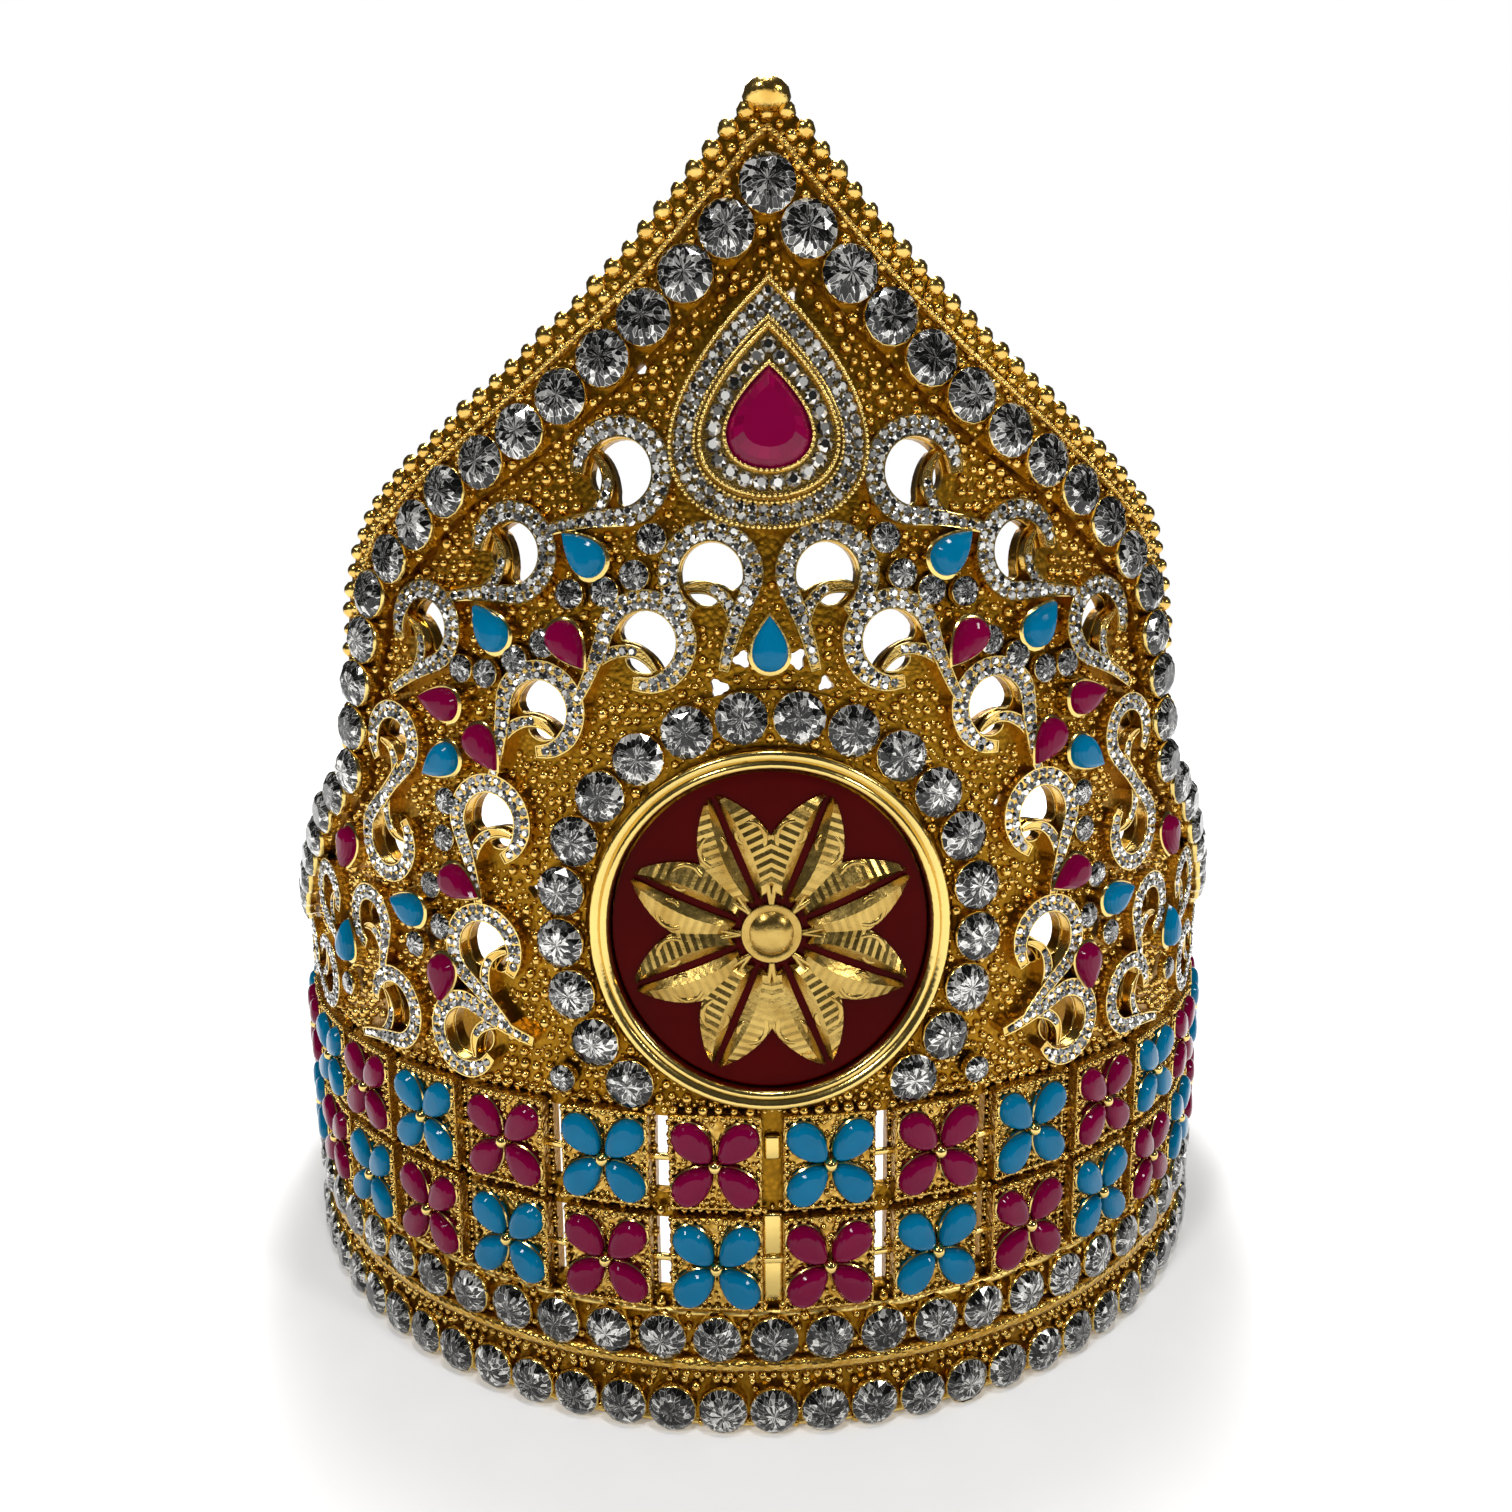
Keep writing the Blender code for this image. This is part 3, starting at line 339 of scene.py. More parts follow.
def smooth(points, steps, closed=False):
    """Points of a curve through the given points, with so many steps for each span."""
    if closed:
        ends = [points[-1], *points, points[0], points[1]]
    else:
        ends = [2 * points[0] - points[1], *points, 2 * points[-1] - points[-2]]
    made = []
    for a, b, c, d in zip(ends, ends[1:], ends[2:], ends[3:]):
        for step in range(steps):
            t = step / steps
            made.append(
                0.5 * (2 * b + (c - a) * t + (2 * a - 5 * b + 4 * c - d) * t**2
                       + (3 * b - a - 3 * c + d) * t**3)
            )
    return made if closed else [*made, points[-1]]


def directions(points):
    """Unit direction of a line of points at each of them."""
    before = [points[0], *points[:-1]]
    after = [*points[1:], points[-1]]
    return [(b - a).normalized() for a, b in zip(before, after)]


def left_of(direction):
    """The flat direction a quarter turn to the left."""
    return Vector((-direction.y, direction.x))


def offset(points, distance):
    """The line of points moved to its left by a distance."""
    return [p + left_of(d) * distance for p, d in zip(points, directions(points))]


def offset_each(points, distances):
    """The line of points, each moved to its left by a distance of its own."""
    return [p + left_of(d) * away for p, d, away in zip(points, directions(points), distances)]


def both_sides(points):
    """A right-hand line that starts at the middle, with its mirror image before it."""
    return [Vector((-p.x, p.y)) for p in reversed(points[1:])] + list(points)


def every(points, pitch):
    """Points spaced evenly along a line, as near to the pitch as they fit."""
    lengths = [0.0]
    for a, b in zip(points, points[1:]):
        lengths.append(lengths[-1] + (b - a).length)
    count = max(1, round(lengths[-1] / pitch))
    made = []
    span = 0
    for index in range(count + 1):
        at = lengths[-1] * index / count
        while span < len(points) - 2 and lengths[span + 1] < at:
            span += 1
        part = (at - lengths[span]) / (lengths[span + 1] - lengths[span])
        made.append(points[span].lerp(points[span + 1], part))
    return made


def level_at(line, x):
    """Height of a falling right-hand line above a place on the way round."""
    for a, b in zip(line, line[1:]):
        if a.x <= abs(x) <= b.x:
            return a.y + (b.y - a.y) * (abs(x) - a.x) / max(b.x - a.x, 1e-9)
    return line[-1].y


def placed(points, centre, way=0.0, mirror=1):
    """Flat points turned by an angle in degrees, moved, and mirrored to the left if asked."""
    turn = Matrix.Rotation(math.radians(way), 2)
    made = [centre + turn @ point for point in points]
    return [Vector((point.x * mirror, point.y)) for point in made]


def handed(points, hand, scale=1.0):
    """Flat points scaled, and turned over if the hand is -1."""
    return [Vector((point.x, point.y * hand)) * scale for point in points]


def lifted(points, height):
    """Flat points at a height above the wall."""
    return [Vector((point.x, point.y, height)) for point in points]


def pinhole_outline(x, y, radius):
    """A small three-cornered opening, turned a different way at each place."""
    made = []
    for angle in range(0, 360, 24):
        way = math.radians(angle)
        reach = radius * (1.0 + 0.28 * math.cos(3 * way + x))
        made.append(Vector((x + math.cos(way) * reach, y + math.sin(way) * reach)) * MM)
    return made


def drop_points(length, width, sides):
    """A teardrop about its own centre, with its point along +X."""
    made = []
    for index in range(sides):
        angle = 2 * math.pi * index / sides
        across = math.sin(angle) * math.sin(angle / 2) / 1.54
        made.append(Vector((math.cos(angle) * length / 2, across * width)))
    return made


def petal_points(length, width, sides):
    """A blunt-pointed oval about its own centre, with its point along +X."""
    made = []
    for index in range(sides):
        angle = 2 * math.pi * index / sides
        across = math.sin(angle) * (0.45 + 0.55 * math.sin(angle / 2)) / 1.72
        made.append(Vector((math.cos(angle) * length / 2, across * width)))
    return made


def edge_line():
    """The wall's right-hand edge, from the peak down to the band."""
    return smooth([chart(row) for row in EDGE], 6)


def inset_edge(distance):
    """The wall's whole edge drawn in by a distance, with one clean corner under the peak."""
    line = [point for point in offset(edge_line(), -distance) if point.x > 0]
    slope = line[1] - line[0]
    peak = line[0] - slope * (line[0].x / slope.x)
    return both_sides([peak, *line])


def arch_line():
    """Middle of the right-hand arch stones, from the peak down."""
    return smooth([chart(row) for row in ARCH_LINE], 4)


def arch_centres():
    """Places of the arch stones."""
    return both_sides(every(arch_line(), ARCH_STONE_PITCH))


def halo_centres():
    """Places of the halo stones, in an arc over the medallion that is open at the bottom."""
    centre = flat(0, MEDALLION_HEIGHT)
    made = []
    for index in range(HALO_STONES):
        angle = math.radians((index - (HALO_STONES - 1) / 2) * HALO_PITCH_ANGLE)
        made.append(centre + Vector((math.sin(angle), math.cos(angle))) * HALO_RADIUS)
    return made


def row_centres(height, step_angle):
    """Places of a level stone row, from the front as far round as the rows go."""
    count = int(ROW_END_ANGLE / step_angle)
    return [flat(index * step_angle, height) for index in range(-count, count + 1)]


def band_centres():
    """Places of the band's two stone rows."""
    bottom = row_centres(BOTTOM_ROW_HEIGHT, BOTTOM_STONE_ANGLE)
    return bottom + row_centres(UPPER_ROW_HEIGHT, UPPER_STONE_ANGLE)


def crest_outline(inset, sides):
    """Outline of the crest, drawn in from its outer edge by an inset."""
    length = CREST_HEIGHT - 2 * (1 + CREST_INSET_DROP) * inset
    points = drop_points(length, 2 * CREST_HALF_WIDTH - 2 * inset, sides)
    return placed(points, flat(0, CREST_MIDDLE - CREST_INSET_DROP * inset), 90)


def scroll_places():
    """Each scroll of both sides: centre, size, way of the tail, hand and mirror."""
    for angle, share, size, way, hand in SCROLLS:
        for mirror in (1, -1):
            yield chart((angle, share)), size, way, hand, mirror


def scroll_line(size, hand, width):
    """Middle of a scroll's ribbon: in along the tail, under the round, up and over to its end."""
    radius = size * SCROLL_RADIUS
    middle = radius - width / 2
    tip = radius + size * TAIL_LENGTH
    made = [Vector((tip, -0.60 * radius)), Vector((0.5 * (tip + radius), -0.61 * radius))]
    made += [Vector((0.86 * radius, -0.66 * radius)), Vector((0.45 * radius, -0.73 * radius))]
    for angle in range(-92, -350, -23):
        made.append(Vector((math.cos(math.radians(angle)), math.sin(math.radians(angle)))) * middle)
    return handed(smooth(made, 3), hand)


def scroll_widths(count, width):
    """Half widths along a scroll's ribbon, narrow in the tail and at the end of the round."""
    made = []
    for index in range(count):
        at = index / (count - 1)
        swell = min(1.0, 0.48 + 1.75 * at, 0.60 + 2.6 * (1.0 - at))
        made.append(swell * width / 2)
    return made


def crescent_outline(size, hand, width):
    """The crescent opening inside a scroll, on the far side of its curled tongue."""
    made = [Vector((math.cos(math.radians(a)), math.sin(math.radians(a)))) for a in range(58, 276, 24)]
    shares = ((0.36, -0.74), (0.27, -0.40), (0.23, 0.02), (0.28, 0.42), (0.42, 0.76))
    made += [Vector(share) for share in shares]
    return handed(smooth(made, 2, closed=True), hand, size * SCROLL_RADIUS - width)


def leaf_outline(size, hand, width):
    """The small opening between a scroll's tongue and its tail."""
    shares = ((0.74, 0.60), (0.62, 0.34), (0.60, -0.02), (0.72, -0.36), (0.94, -0.20), (0.98, 0.20))
    line = smooth([Vector(share) for share in shares], 3, closed=True)
    return handed(line, hand, size * SCROLL_RADIUS - width)


def tongue_line(size, hand, width):
    """Middle of the tongue that leaves a scroll's foot and curls to a point inside its round."""
    shares = ((1.30, -1.02), (0.90, -0.80), (0.55, -0.44), (0.39, -0.04), (0.42, 0.34), (0.56, 0.70))
    line = smooth([Vector(share) for share in shares], 3)
    return handed(line, hand, size * SCROLL_RADIUS - width)


def tongue_widths(count):
    """Half widths along a scroll's tongue, which narrows to its end."""
    return [TONGUE_HALF_WIDTH * (1.0 - 0.75 * (index / (count - 1)) ** 2) for index in range(count)]


def scroll_holes(width, centre, size, way, hand, mirror):
    """Outlines of a scroll's two openings, in place."""
    outlines = (crescent_outline(size, hand, width), leaf_outline(size, hand, width))
    return [placed(outline, centre, way, mirror) for outline in outlines]


# Making meshes


def settle(shape):
    """Turns every face of closed shapes outwards."""
    bmesh.ops.recalc_face_normals(shape, faces=shape.faces)
    if shape.calc_volume(signed=True) < 0:
        bmesh.ops.reverse_faces(shape, faces=shape.faces)
    return shape


def to_mesh(shape, name):
    """A mesh of closed shapes, after which the shape is gone."""
    mesh = bpy.data.meshes.new(name)
    settle(shape).to_mesh(mesh)
    shape.free()
    return mesh


def bend(shape):
    """Lays a flat drawing round the vertical axis."""
    for vert in shape.verts:
        angle = vert.co.x / DRAWING_RADIUS
        radius = WALL_RADIUS + vert.co.z
        vert.co = (radius * math.sin(angle), -radius * math.cos(angle), vert.co.y)
    return settle(shape)


def seat(place, lift, spin=0.0, size=1.0, lean=0.0, lean_way=0.0):
    """Where a small piece sits on the wall: its Z looks outwards and its Y looks up."""
    angle = place.x / DRAWING_RADIUS
    out = Vector((math.sin(angle), -math.cos(angle), 0.0))
    along = Vector((math.cos(angle), math.sin(angle), 0.0))
    up = Vector((0.0, 0.0, 1.0))
    stand = Matrix((along, up, out)).transposed().to_4x4()
    stand = Matrix.Translation(out * (WALL_RADIUS + lift) + up * place.y) @ stand
    if lean:
        axis = Vector((math.cos(lean_way), math.sin(lean_way), 0.0))
        stand = stand @ Matrix.Rotation(lean, 4, axis)
    return stand @ Matrix.Rotation(spin, 4, "Z") @ Matrix.Scale(size, 4)


def repeat(template, places, into=None):
    """The template set at each of the places, in one shape."""
    shape = into or bmesh.new()
    for place in places:
        copy = template.copy()
        copy.transform(place)
        shape.from_mesh(copy)
        bpy.data.meshes.remove(copy)
    return shape


def thicken(shape, faces, height):
    """Makes flat faces into a closed shape of the given height."""
    made = bmesh.ops.extrude_face_region(shape, geom=faces)["geom"]
    tops = [item for item in made if isinstance(item, bmesh.types.BMVert)]
    bmesh.ops.translate(shape, verts=tops, vec=(0.0, 0.0, height))


def add_strip(shape, left, right, low, high, ring=False):
    """A raised strip between two lines of the flat drawing, or a ring between two loops."""
    edges = []
    for line in (left, right):
        verts = [shape.verts.new(point) for point in lifted(line, low)]
        following = verts[1:] + verts[:1] if ring else verts[1:]
        edges += [shape.edges.new(pair) for pair in zip(verts, following)]
    strip = bmesh.ops.bridge_loops(shape, edges=edges)
    thicken(shape, strip["faces"], high - low)


def add_ribbon(shape, line, half_widths, top):
    """A raised ribbon along a line. Its outline is returned."""
    left = offset_each(line, half_widths)
    right = offset_each(line, [-width for width in half_widths])
    add_strip(shape, left, right, -RIBBON_ROOT, top)
    return left + right[::-1]


def plate(outlines, low, high, pitch):
    """A plate with holes in the flat drawing, cut along upright lines so that it can bend."""
    curve = bpy.data.curves.new("plate", "CURVE")
    curve.dimensions = "2D"
    curve.fill_mode = "BOTH"
    curve.extrude = (high - low) / 2
    for outline in outlines:
        spline = curve.splines.new("POLY")
        spline.points.add(len(outline) - 1)
        for point, place in zip(spline.points, outline):
            point.co = (place.x, place.y, 0.0, 1.0)
        spline.use_cyclic_u = True
    shape = from_curve(curve)
    bmesh.ops.translate(shape, verts=shape.verts, vec=(0.0, 0.0, (low + high) / 2))
    places = [vert.co.x for vert in shape.verts]
    first = math.ceil(min(places) / pitch)
    for index in range(first, math.floor(max(places) / pitch) + 1):
        everything = shape.verts[:] + shape.edges[:] + shape.faces[:]
        bmesh.ops.bisect_plane(
            shape, geom=everything, dist=1e-6, plane_co=(index * pitch, 0, 0), plane_no=(1, 0, 0)
        )
    return shape


def from_curve(curve):
    """A shape of the curve's mesh, after which the curve is gone."""
    drawn = bpy.data.objects.new("drawn", curve)
    bpy.context.scene.collection.objects.link(drawn)
    evaluated = drawn.evaluated_get(bpy.context.evaluated_depsgraph_get())
    mesh = bpy.data.meshes.new_from_object(evaluated)
    shape = bmesh.new()
    shape.from_mesh(mesh)
    bmesh.ops.remove_doubles(shape, verts=shape.verts, dist=1e-6)
    bpy.data.objects.remove(drawn)
    bpy.data.curves.remove(curve)
    bpy.data.meshes.remove(mesh)
    return shape


def wires(lines, thickness, sides=1):
    """Round wires along the given lines. Each line is (points with a height, closed or not)."""
    curve = bpy.data.curves.new("wires", "CURVE")
    curve.dimensions = "3D"
    curve.bevel_depth = thickness / 2
    curve.bevel_resolution = sides
    curve.use_fill_caps = True
    for line, closed in lines:
        spline = curve.splines.new("POLY")
        spline.points.add(len(line) - 1)
        for point, place in zip(spline.points, line):
            point.co = (*place, 1.0)
        spline.use_cyclic_u = closed
    return from_curve(curve)


def turned(profile, steps, closed=True):
    """A ring or disc turned from a profile of radius and height about the Z axis."""
    shape = bmesh.new()
    verts = [shape.verts.new((radius, 0.0, height)) for radius, height in profile]
    pairs = list(zip(verts, verts[1:]))
    if closed:
        pairs.append((verts[-1], verts[0]))
    edges = [shape.edges.new(pair) for pair in pairs]
    bmesh.ops.spin(
        shape, geom=verts + edges, cent=(0, 0, 0), axis=(0, 0, 1), angle=2 * math.pi,
        steps=steps, use_merge=True,
    )
    bmesh.ops.remove_doubles(shape, verts=shape.verts, dist=1e-6)
    return settle(shape)


def dome(outline, steps, centre=(0.0, 0.0)):
    """A closed dome on a flat outline. Each step is (share of the outline, height)."""
    shape = bmesh.new()
    top = [shape.faces.new([shape.verts.new((p.x, p.y, 0.0)) for p in outline])]
    space = Matrix.Translation((-centre[0], -centre[1], 0.0))
    share_before, height_before = 1.0, 0.0
    for share, height in steps:
        made = bmesh.ops.extrude_face_region(shape, geom=top)["geom"]
        top = [item for item in made if isinstance(item, bmesh.types.BMFace)]
        verts = [item for item in made if isinstance(item, bmesh.types.BMVert)]
        ratio = share / share_before
        bmesh.ops.scale(shape, vec=(ratio, ratio, 1.0), verts=verts, space=space)
        bmesh.ops.translate(shape, vec=(0.0, 0.0, height - height_before), verts=verts)
        share_before, height_before = share, height
    return settle(shape)


def bead(sides, rings, cut):
    """A round bead of radius 1, cut off flat below a height if asked."""
    shape = bmesh.new()
    bmesh.ops.create_uvsphere(shape, u_segments=sides, v_segments=rings, radius=1.0)
    if cut is not None:
        everything = shape.verts[:] + shape.edges[:] + shape.faces[:]
        bmesh.ops.bisect_plane(
            shape, geom=everything, dist=1e-6, plane_co=(0, 0, cut), plane_no=(0, 0, -1), clear_outer=True
        )
        bmesh.ops.holes_fill(shape, edges=[edge for edge in shape.edges if edge.is_boundary])
    return to_mesh(shape, "bead")


def granule():
    """A coarse bead, cut off flat where it stands on its ground."""
    return bead(6, 4, -0.2)


def any_turn(rng):
    """A random angle in radians."""
    return rng.random() * 6


def cut_stone(rings):
    """A cut stone of radius 1, its girdle at height 0. Each ring is (sides, turn, radius, height)."""
    shape = bmesh.new()
    for sides, turn, radius, height in rings:
        for index in range(sides):
            angle = 2 * math.pi * (index + turn) / sides
            shape.verts.new((radius * math.cos(angle), radius * math.sin(angle), height))
    bmesh.ops.convex_hull(shape, input=shape.verts)
    bmesh.ops.dissolve_limit(shape, angle_limit=0.02, verts=shape.verts, edges=shape.edges)
    facets = shape.loops.layers.uv.new("facets")
    for face in shape.faces:
        for loop in face.loops:
            loop[facets].uv = (0.5 + loop.vert.co.x / 2, 0.5 + loop.vert.co.y / 2)
    return to_mesh(shape, "cut_stone")


def give_sparkle(shape, faces_each, rng):
    """Gives each facet a light of its own and each stone a number of its own."""
    facet_light = shape.faces.layers.float.new("facet_light")
    stone_number = shape.faces.layers.float.new("stone_number")
    number = 0.0
    for index, face in enumerate(shape.faces):
        if index % faces_each == 0:
            number = rng.random()
        face[facet_light] = rng.random()
        face[stone_number] = number


def make_stones(name, rings, places, rng, finish, replaced=()):
    """A piece of cut stones that are all of one form."""
    stone = cut_stone(rings)
    shape = repeat(stone, places)
    give_sparkle(shape, len(stone.polygons), rng)
    make_piece(name, shape, finish, replaced, sharp=None)


def make_piece(name, shape, finish, replaced=(), sharp=40.0):
    """A finished piece: its mesh, material and place among the crown's pieces."""
    mesh = bpy.data.meshes.new(name)
    shape.to_mesh(mesh)
    shape.free()
    mesh.materials.clear()
    mesh.materials.append(look(finish))
    if sharp:
        mesh.shade_smooth()
        mesh.set_sharp_from_angle(angle=math.radians(sharp))
    else:
        mesh.shade_flat()
    made = bpy.data.objects.new(name, mesh)
    bpy.context.scene.collection.objects.link(made)
    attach(made, "root")
    if replaced:
        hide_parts(*replaced)


# Making materials


class Field:
    """A number that varies over a surface, used in ordinary arithmetic."""

    def __init__(self, net, socket):
        self.net = net
        self.socket = socket

    def __add__(self, other):
        return self.net.maths("ADD", self, other)

    def __sub__(self, other):
        return self.net.maths("SUBTRACT", self, other)

    def __rsub__(self, other):
        return self.net.maths("SUBTRACT", other, self)

    def __mul__(self, other):
        return self.net.maths("MULTIPLY", self, other)

    def __pow__(self, other):
        return self.net.maths("POWER", self, other)

    __radd__ = __add__
    __rmul__ = __mul__


class Net:
    """The nodes of one material."""

    def __init__(self, name):
        self.material = bpy.data.materials.new(name)
        self.material.use_nodes = True
        self.tree = self.material.node_tree
        self.tree.nodes.clear()

    def node(self, kind, settings=None, values=None, output=0):
        """Adds a node, sets it up and returns one of its outputs."""
        made = self.tree.nodes.new(kind)
        for key, value in (settings or {}).items():
            if key == "stops":
                self.set_stops(made.color_ramp, value)
            else:
                setattr(made, key, value)
        for key, value in (values or {}).items():
            if isinstance(value, Field):
                self.tree.links.new(value.socket, made.inputs[key])
            else:
                made.inputs[key].default_value = value
        return Field(self, made.outputs[output])

    def set_stops(self, ramp, stops):
        while len(ramp.elements) < len(stops):
            ramp.elements.new(0.5)
        for element, (position, tone) in zip(ramp.elements, stops):
            element.position = position
            element.color = (*tone, 1.0)

    def maths(self, operation, first, second):
        return self.node("ShaderNodeMath", {"operation": operation}, {0: first, 1: second})

    def place(self):
        return self.node("ShaderNodeTexCoord", output="Object")

    def noise(self, scale, detail=2.0):
        """Soft clouds from 0 to 1. The scale is in cycles a metre."""
        values = {"Vector": self.place(), "Scale": scale, "Detail": detail}
        return self.node("ShaderNodeTexNoise", None, values)

    def cells(self, scale):
        """How far it is to the nearest of scattered points. The scale is in cells a metre."""
        values = {"Vector": self.place(), "Scale": scale}
        return self.node("ShaderNodeTexVoronoi", {"feature": "F1"}, values, "Distance")

    def mix(self, share, first, second):
        """A colour between two."""
        values = {0: share, 6: rgba(first), 7: rgba(second)}
        return self.node("ShaderNodeMix", {"data_type": "RGBA"}, values, 2)

    def ramp(self, share, stops):
        return self.node("ShaderNodeValToRGB", {"stops": stops}, {"Fac": share})

    def attribute(self, name):
        return self.node("ShaderNodeAttribute", {"attribute_name": name}, None, "Fac")

    def bump(self, height, distance, strength):
        values = {"Height": height, "Distance": distance, "Strength": strength}
        return self.node("ShaderNodeBump", None, values)

    def surface(self, **values):
        """Ends the material in a principled surface. An underscore in a name stands for a space."""
        named = {key.replace("_", " "): rgba(value) for key, value in values.items()}
        shader = self.node("ShaderNodeBsdfPrincipled", None, named)
        output = self.tree.nodes.new("ShaderNodeOutputMaterial")
        self.tree.links.new(shader.socket, output.inputs["Surface"])
        return self.material

    def metal(self, tone, rough, height, distance, strength):
        """Ends the material in a metal with a relief."""
        relief = self.bump(height, distance, strength)
        return self.surface(Base_Color=tone, Metallic=1.0, Roughness=rough, Normal=relief)


def rgba(value):
    """A colour with its alpha, and a number or a varying value as it is."""
    return value if isinstance(value, (Field, float)) else (*value, 1.0)


def shade(tone, amount):
    """A colour made darker or lighter."""
    return tuple(min(1.0, part * amount) for part in tone)


def polished_gold(colours):
    """Bright cast gold with a fine orange-peel skin and drifting tone."""
    net = Net("polished_gold")
    drift = net.noise(90.0)
    skin = net.noise(1300.0, 3.0)
    tone = net.mix(drift, shade(colours.gold, 0.72), shade(colours.gold, 1.12))
    return net.metal(tone, 0.12 + 0.22 * (drift * skin), skin, 0.00006, 0.5)


def satin_gold(colours):
    """Bright, softly shining gold of the raised edges: a lighter copy of the gold, painted light where
    the edges catch it.
    """
    net = Net("satin_gold")
    drift = net.noise(300.0)
    skin = net.noise(1500.0, 2.0)
    # Painted light: a lighter copy of the gold than the polished one.
    tone = net.mix(drift, shade(colours.gold, 0.95), shade(colours.gold, 1.3))
    return net.metal(tone, 0.30 + 0.15 * skin, skin, 0.0002, 0.7)


def darker_ornament_gold(colours):
    """Darker gold of the medallion's ornament, made from a dimmed copy of the painted amber_shade and
    dimmed gold, brightest in drifting patches.
    """
    net = Net("darker_ornament_gold")
    drift = net.noise(260.0)
    skin = net.noise(1300.0, 3.0)
    tone = net.mix(drift, shade(colours.amber_shade, 0.7), shade(colours.gold, 0.85))
    return net.metal(tone, 0.16 + 0.2 * skin, skin, 0.0001, 0.5)


def bead_gold(colours):
    """Gold of the beads and granules, which drifts at random from a lighter copy of the painted
    amber_shade to bright gold.
    """
    net = Net("bead_gold")
    drift = net.noise(420.0, 2.0)
    skin = net.noise(2600.0, 2.0)
    tone = net.mix(drift, shade(colours.amber_shade, 1.3), shade(colours.gold, 1.15))
    return net.metal(tone, 0.12 + 0.15 * skin, skin, 0.00008, 0.6)


def ground_gold(colours):
    """Cast gold ground, pebbled, dark as the painted amber_shade of a recess, and brighter on the
    pebbles' tops and in drifting patches as painted light.
    """
    net = Net("ground_gold")
    pebbles = net.cells(1250.0)
    fine = net.noise(2200.0, 2.0)
    drift = net.noise(240.0, 2.0)
    # Painted shade and light: the share is low between the pebbles and high on their tops and in drifting
    # patches.
    pebble_shade_and_drift = (drift * (1.1 - pebbles)) ** 2.0
    tone = net.mix(pebble_shade_and_drift, shade(colours.amber_shade, 0.60), shade(colours.amber_shade, 1.9))
    height = (1.0 - pebbles) + 0.5 * fine
    return net.metal(tone, 0.22 + 0.20 * fine, height, 0.00016, 0.5)


def tile_gold(colours):
    """Bright pebbled gold of the tiles' grounds and of the band's ridge, with painted shade between the
    pebbles.
    """
    net = Net("tile_gold")
    pebbles = net.cells(1150.0)
    drift = net.noise(260.0, 2.0)
    # Painted shade: a copy of amber_shade lies between the pebbles, and brighter gold lies on their tops
    # and in drifting patches.
    tone = net.mix(drift * (1.1 - pebbles), shade(colours.amber_shade, 1.1), shade(colours.gold, 1.1))
    return net.metal(tone, 0.16 + 0.20 * pebbles, 1.0 - pebbles, 0.00022, 0.8)


# How light a crystal's facets are: place in the range of facets, grey.
DEEP_SPARKLE = ((0.0, 0.003), (0.40, 0.008), (0.50, 0.045), (0.66, 0.085), (0.75, 0.45), (1.0, 1.0))
CRISP_SPARKLE = ((0.0, 0.015), (0.26, 0.03), (0.38, 0.14), (0.68, 0.34), (0.78, 0.9), (1.0, 1.0))

# Painted reflections seen inside the large stones as light and dark shards, and the painted bright seams
# between them
SHARD_SCALE = 3.1
SEAM_WIDTH = 0.045


def crystal(name, shards, stops):
    """Foiled glass with painted reflections: each facet and each shard inside it is painted light, grey
    or dark.
    """
    net = Net(name)
    facet = net.attribute("facet_light")
    light = facet
    if shards:
        number = net.attribute("stone_number")
        spot = net.node("ShaderNodeUVMap", {"uv_map": "facets"})
        middle = (0.5, 0.5, 0.0)
        spread = net.node("ShaderNodeVectorMath", {"operation": "SUBTRACT"}, {0: spot, 1: middle})
        reach = net.node("ShaderNodeVectorMath", {"operation": "LENGTH"}, {0: spread}, "Value")
        way = net.node("ShaderNodeVectorMath", {"operation": "NORMALIZE"}, {0: spread})
        apart = net.node("ShaderNodeSeparateXYZ", None, {0: way}, "X")
        upright = net.node("ShaderNodeSeparateXYZ", None, {0: way}, "Y")
        polar = net.node(
            "ShaderNodeCombineXYZ", None,
            {"X": apart * 1.5 + number * 31.0, "Y": upright * 1.5, "Z": reach * 2.4 + number * 17.0},
        )
        shards_at = {"Vector": polar, "Scale": SHARD_SCALE}
        shard = net.node("ShaderNodeTexVoronoi", {"feature": "F1"}, shards_at, "Color")
        chosen = net.node("ShaderNodeSeparateColor", None, {0: shard}, 0)
        seam = net.node("ShaderNodeTexVoronoi", {"feature": "DISTANCE_TO_EDGE"}, shards_at, "Distance")
        bright_seam = net.maths("LESS_THAN", seam, SEAM_WIDTH)
        # Painted reflections and highlights: the shard's grey, the facet's own light and a bright line
        # along the seams.
        light = 0.62 * chosen + 0.32 * facet + 0.24 * bright_seam
    tone = net.ramp(light, [(position, (grey, 0.985 * grey, 0.94 * grey)) for position, grey in stops])
    return net.surface(
        Base_Color=tone, Metallic=0.5, Roughness=0.10, Coat_Weight=0.15, Coat_Roughness=0.03
    )


def glossy_stone(name, tone):
    """A poured cabochon: deep colour, slight clouding, high gloss."""
    net = Net(name)
    cloud = net.noise(240.0, 2.0)
    fine = net.noise(900.0, 2.0)
    base = net.mix(cloud, shade(tone, 0.78), shade(tone, 1.2))
    return net.surface(
        Base_Color=base, Metallic=0.0, Roughness=0.05 + 0.04 * fine, Specular_IOR_Level=0.14,
        Normal=net.bump(cloud, 0.00012, 0.3),
    )


def jewel_red(colours):
    """The cut red stone of the crest, lighter and darker from facet to facet as painted reflections."""
    net = Net("jewel_red")
    facet = net.attribute("facet_light")
    tone = net.mix(facet, shade(colours.ruby, 0.85), shade(colours.ruby, 1.5))
    return net.surface(
        Base_Color=tone, Metallic=0.0, Roughness=0.14, Specular_IOR_Level=0.2, Coat_Weight=0.08,
    )


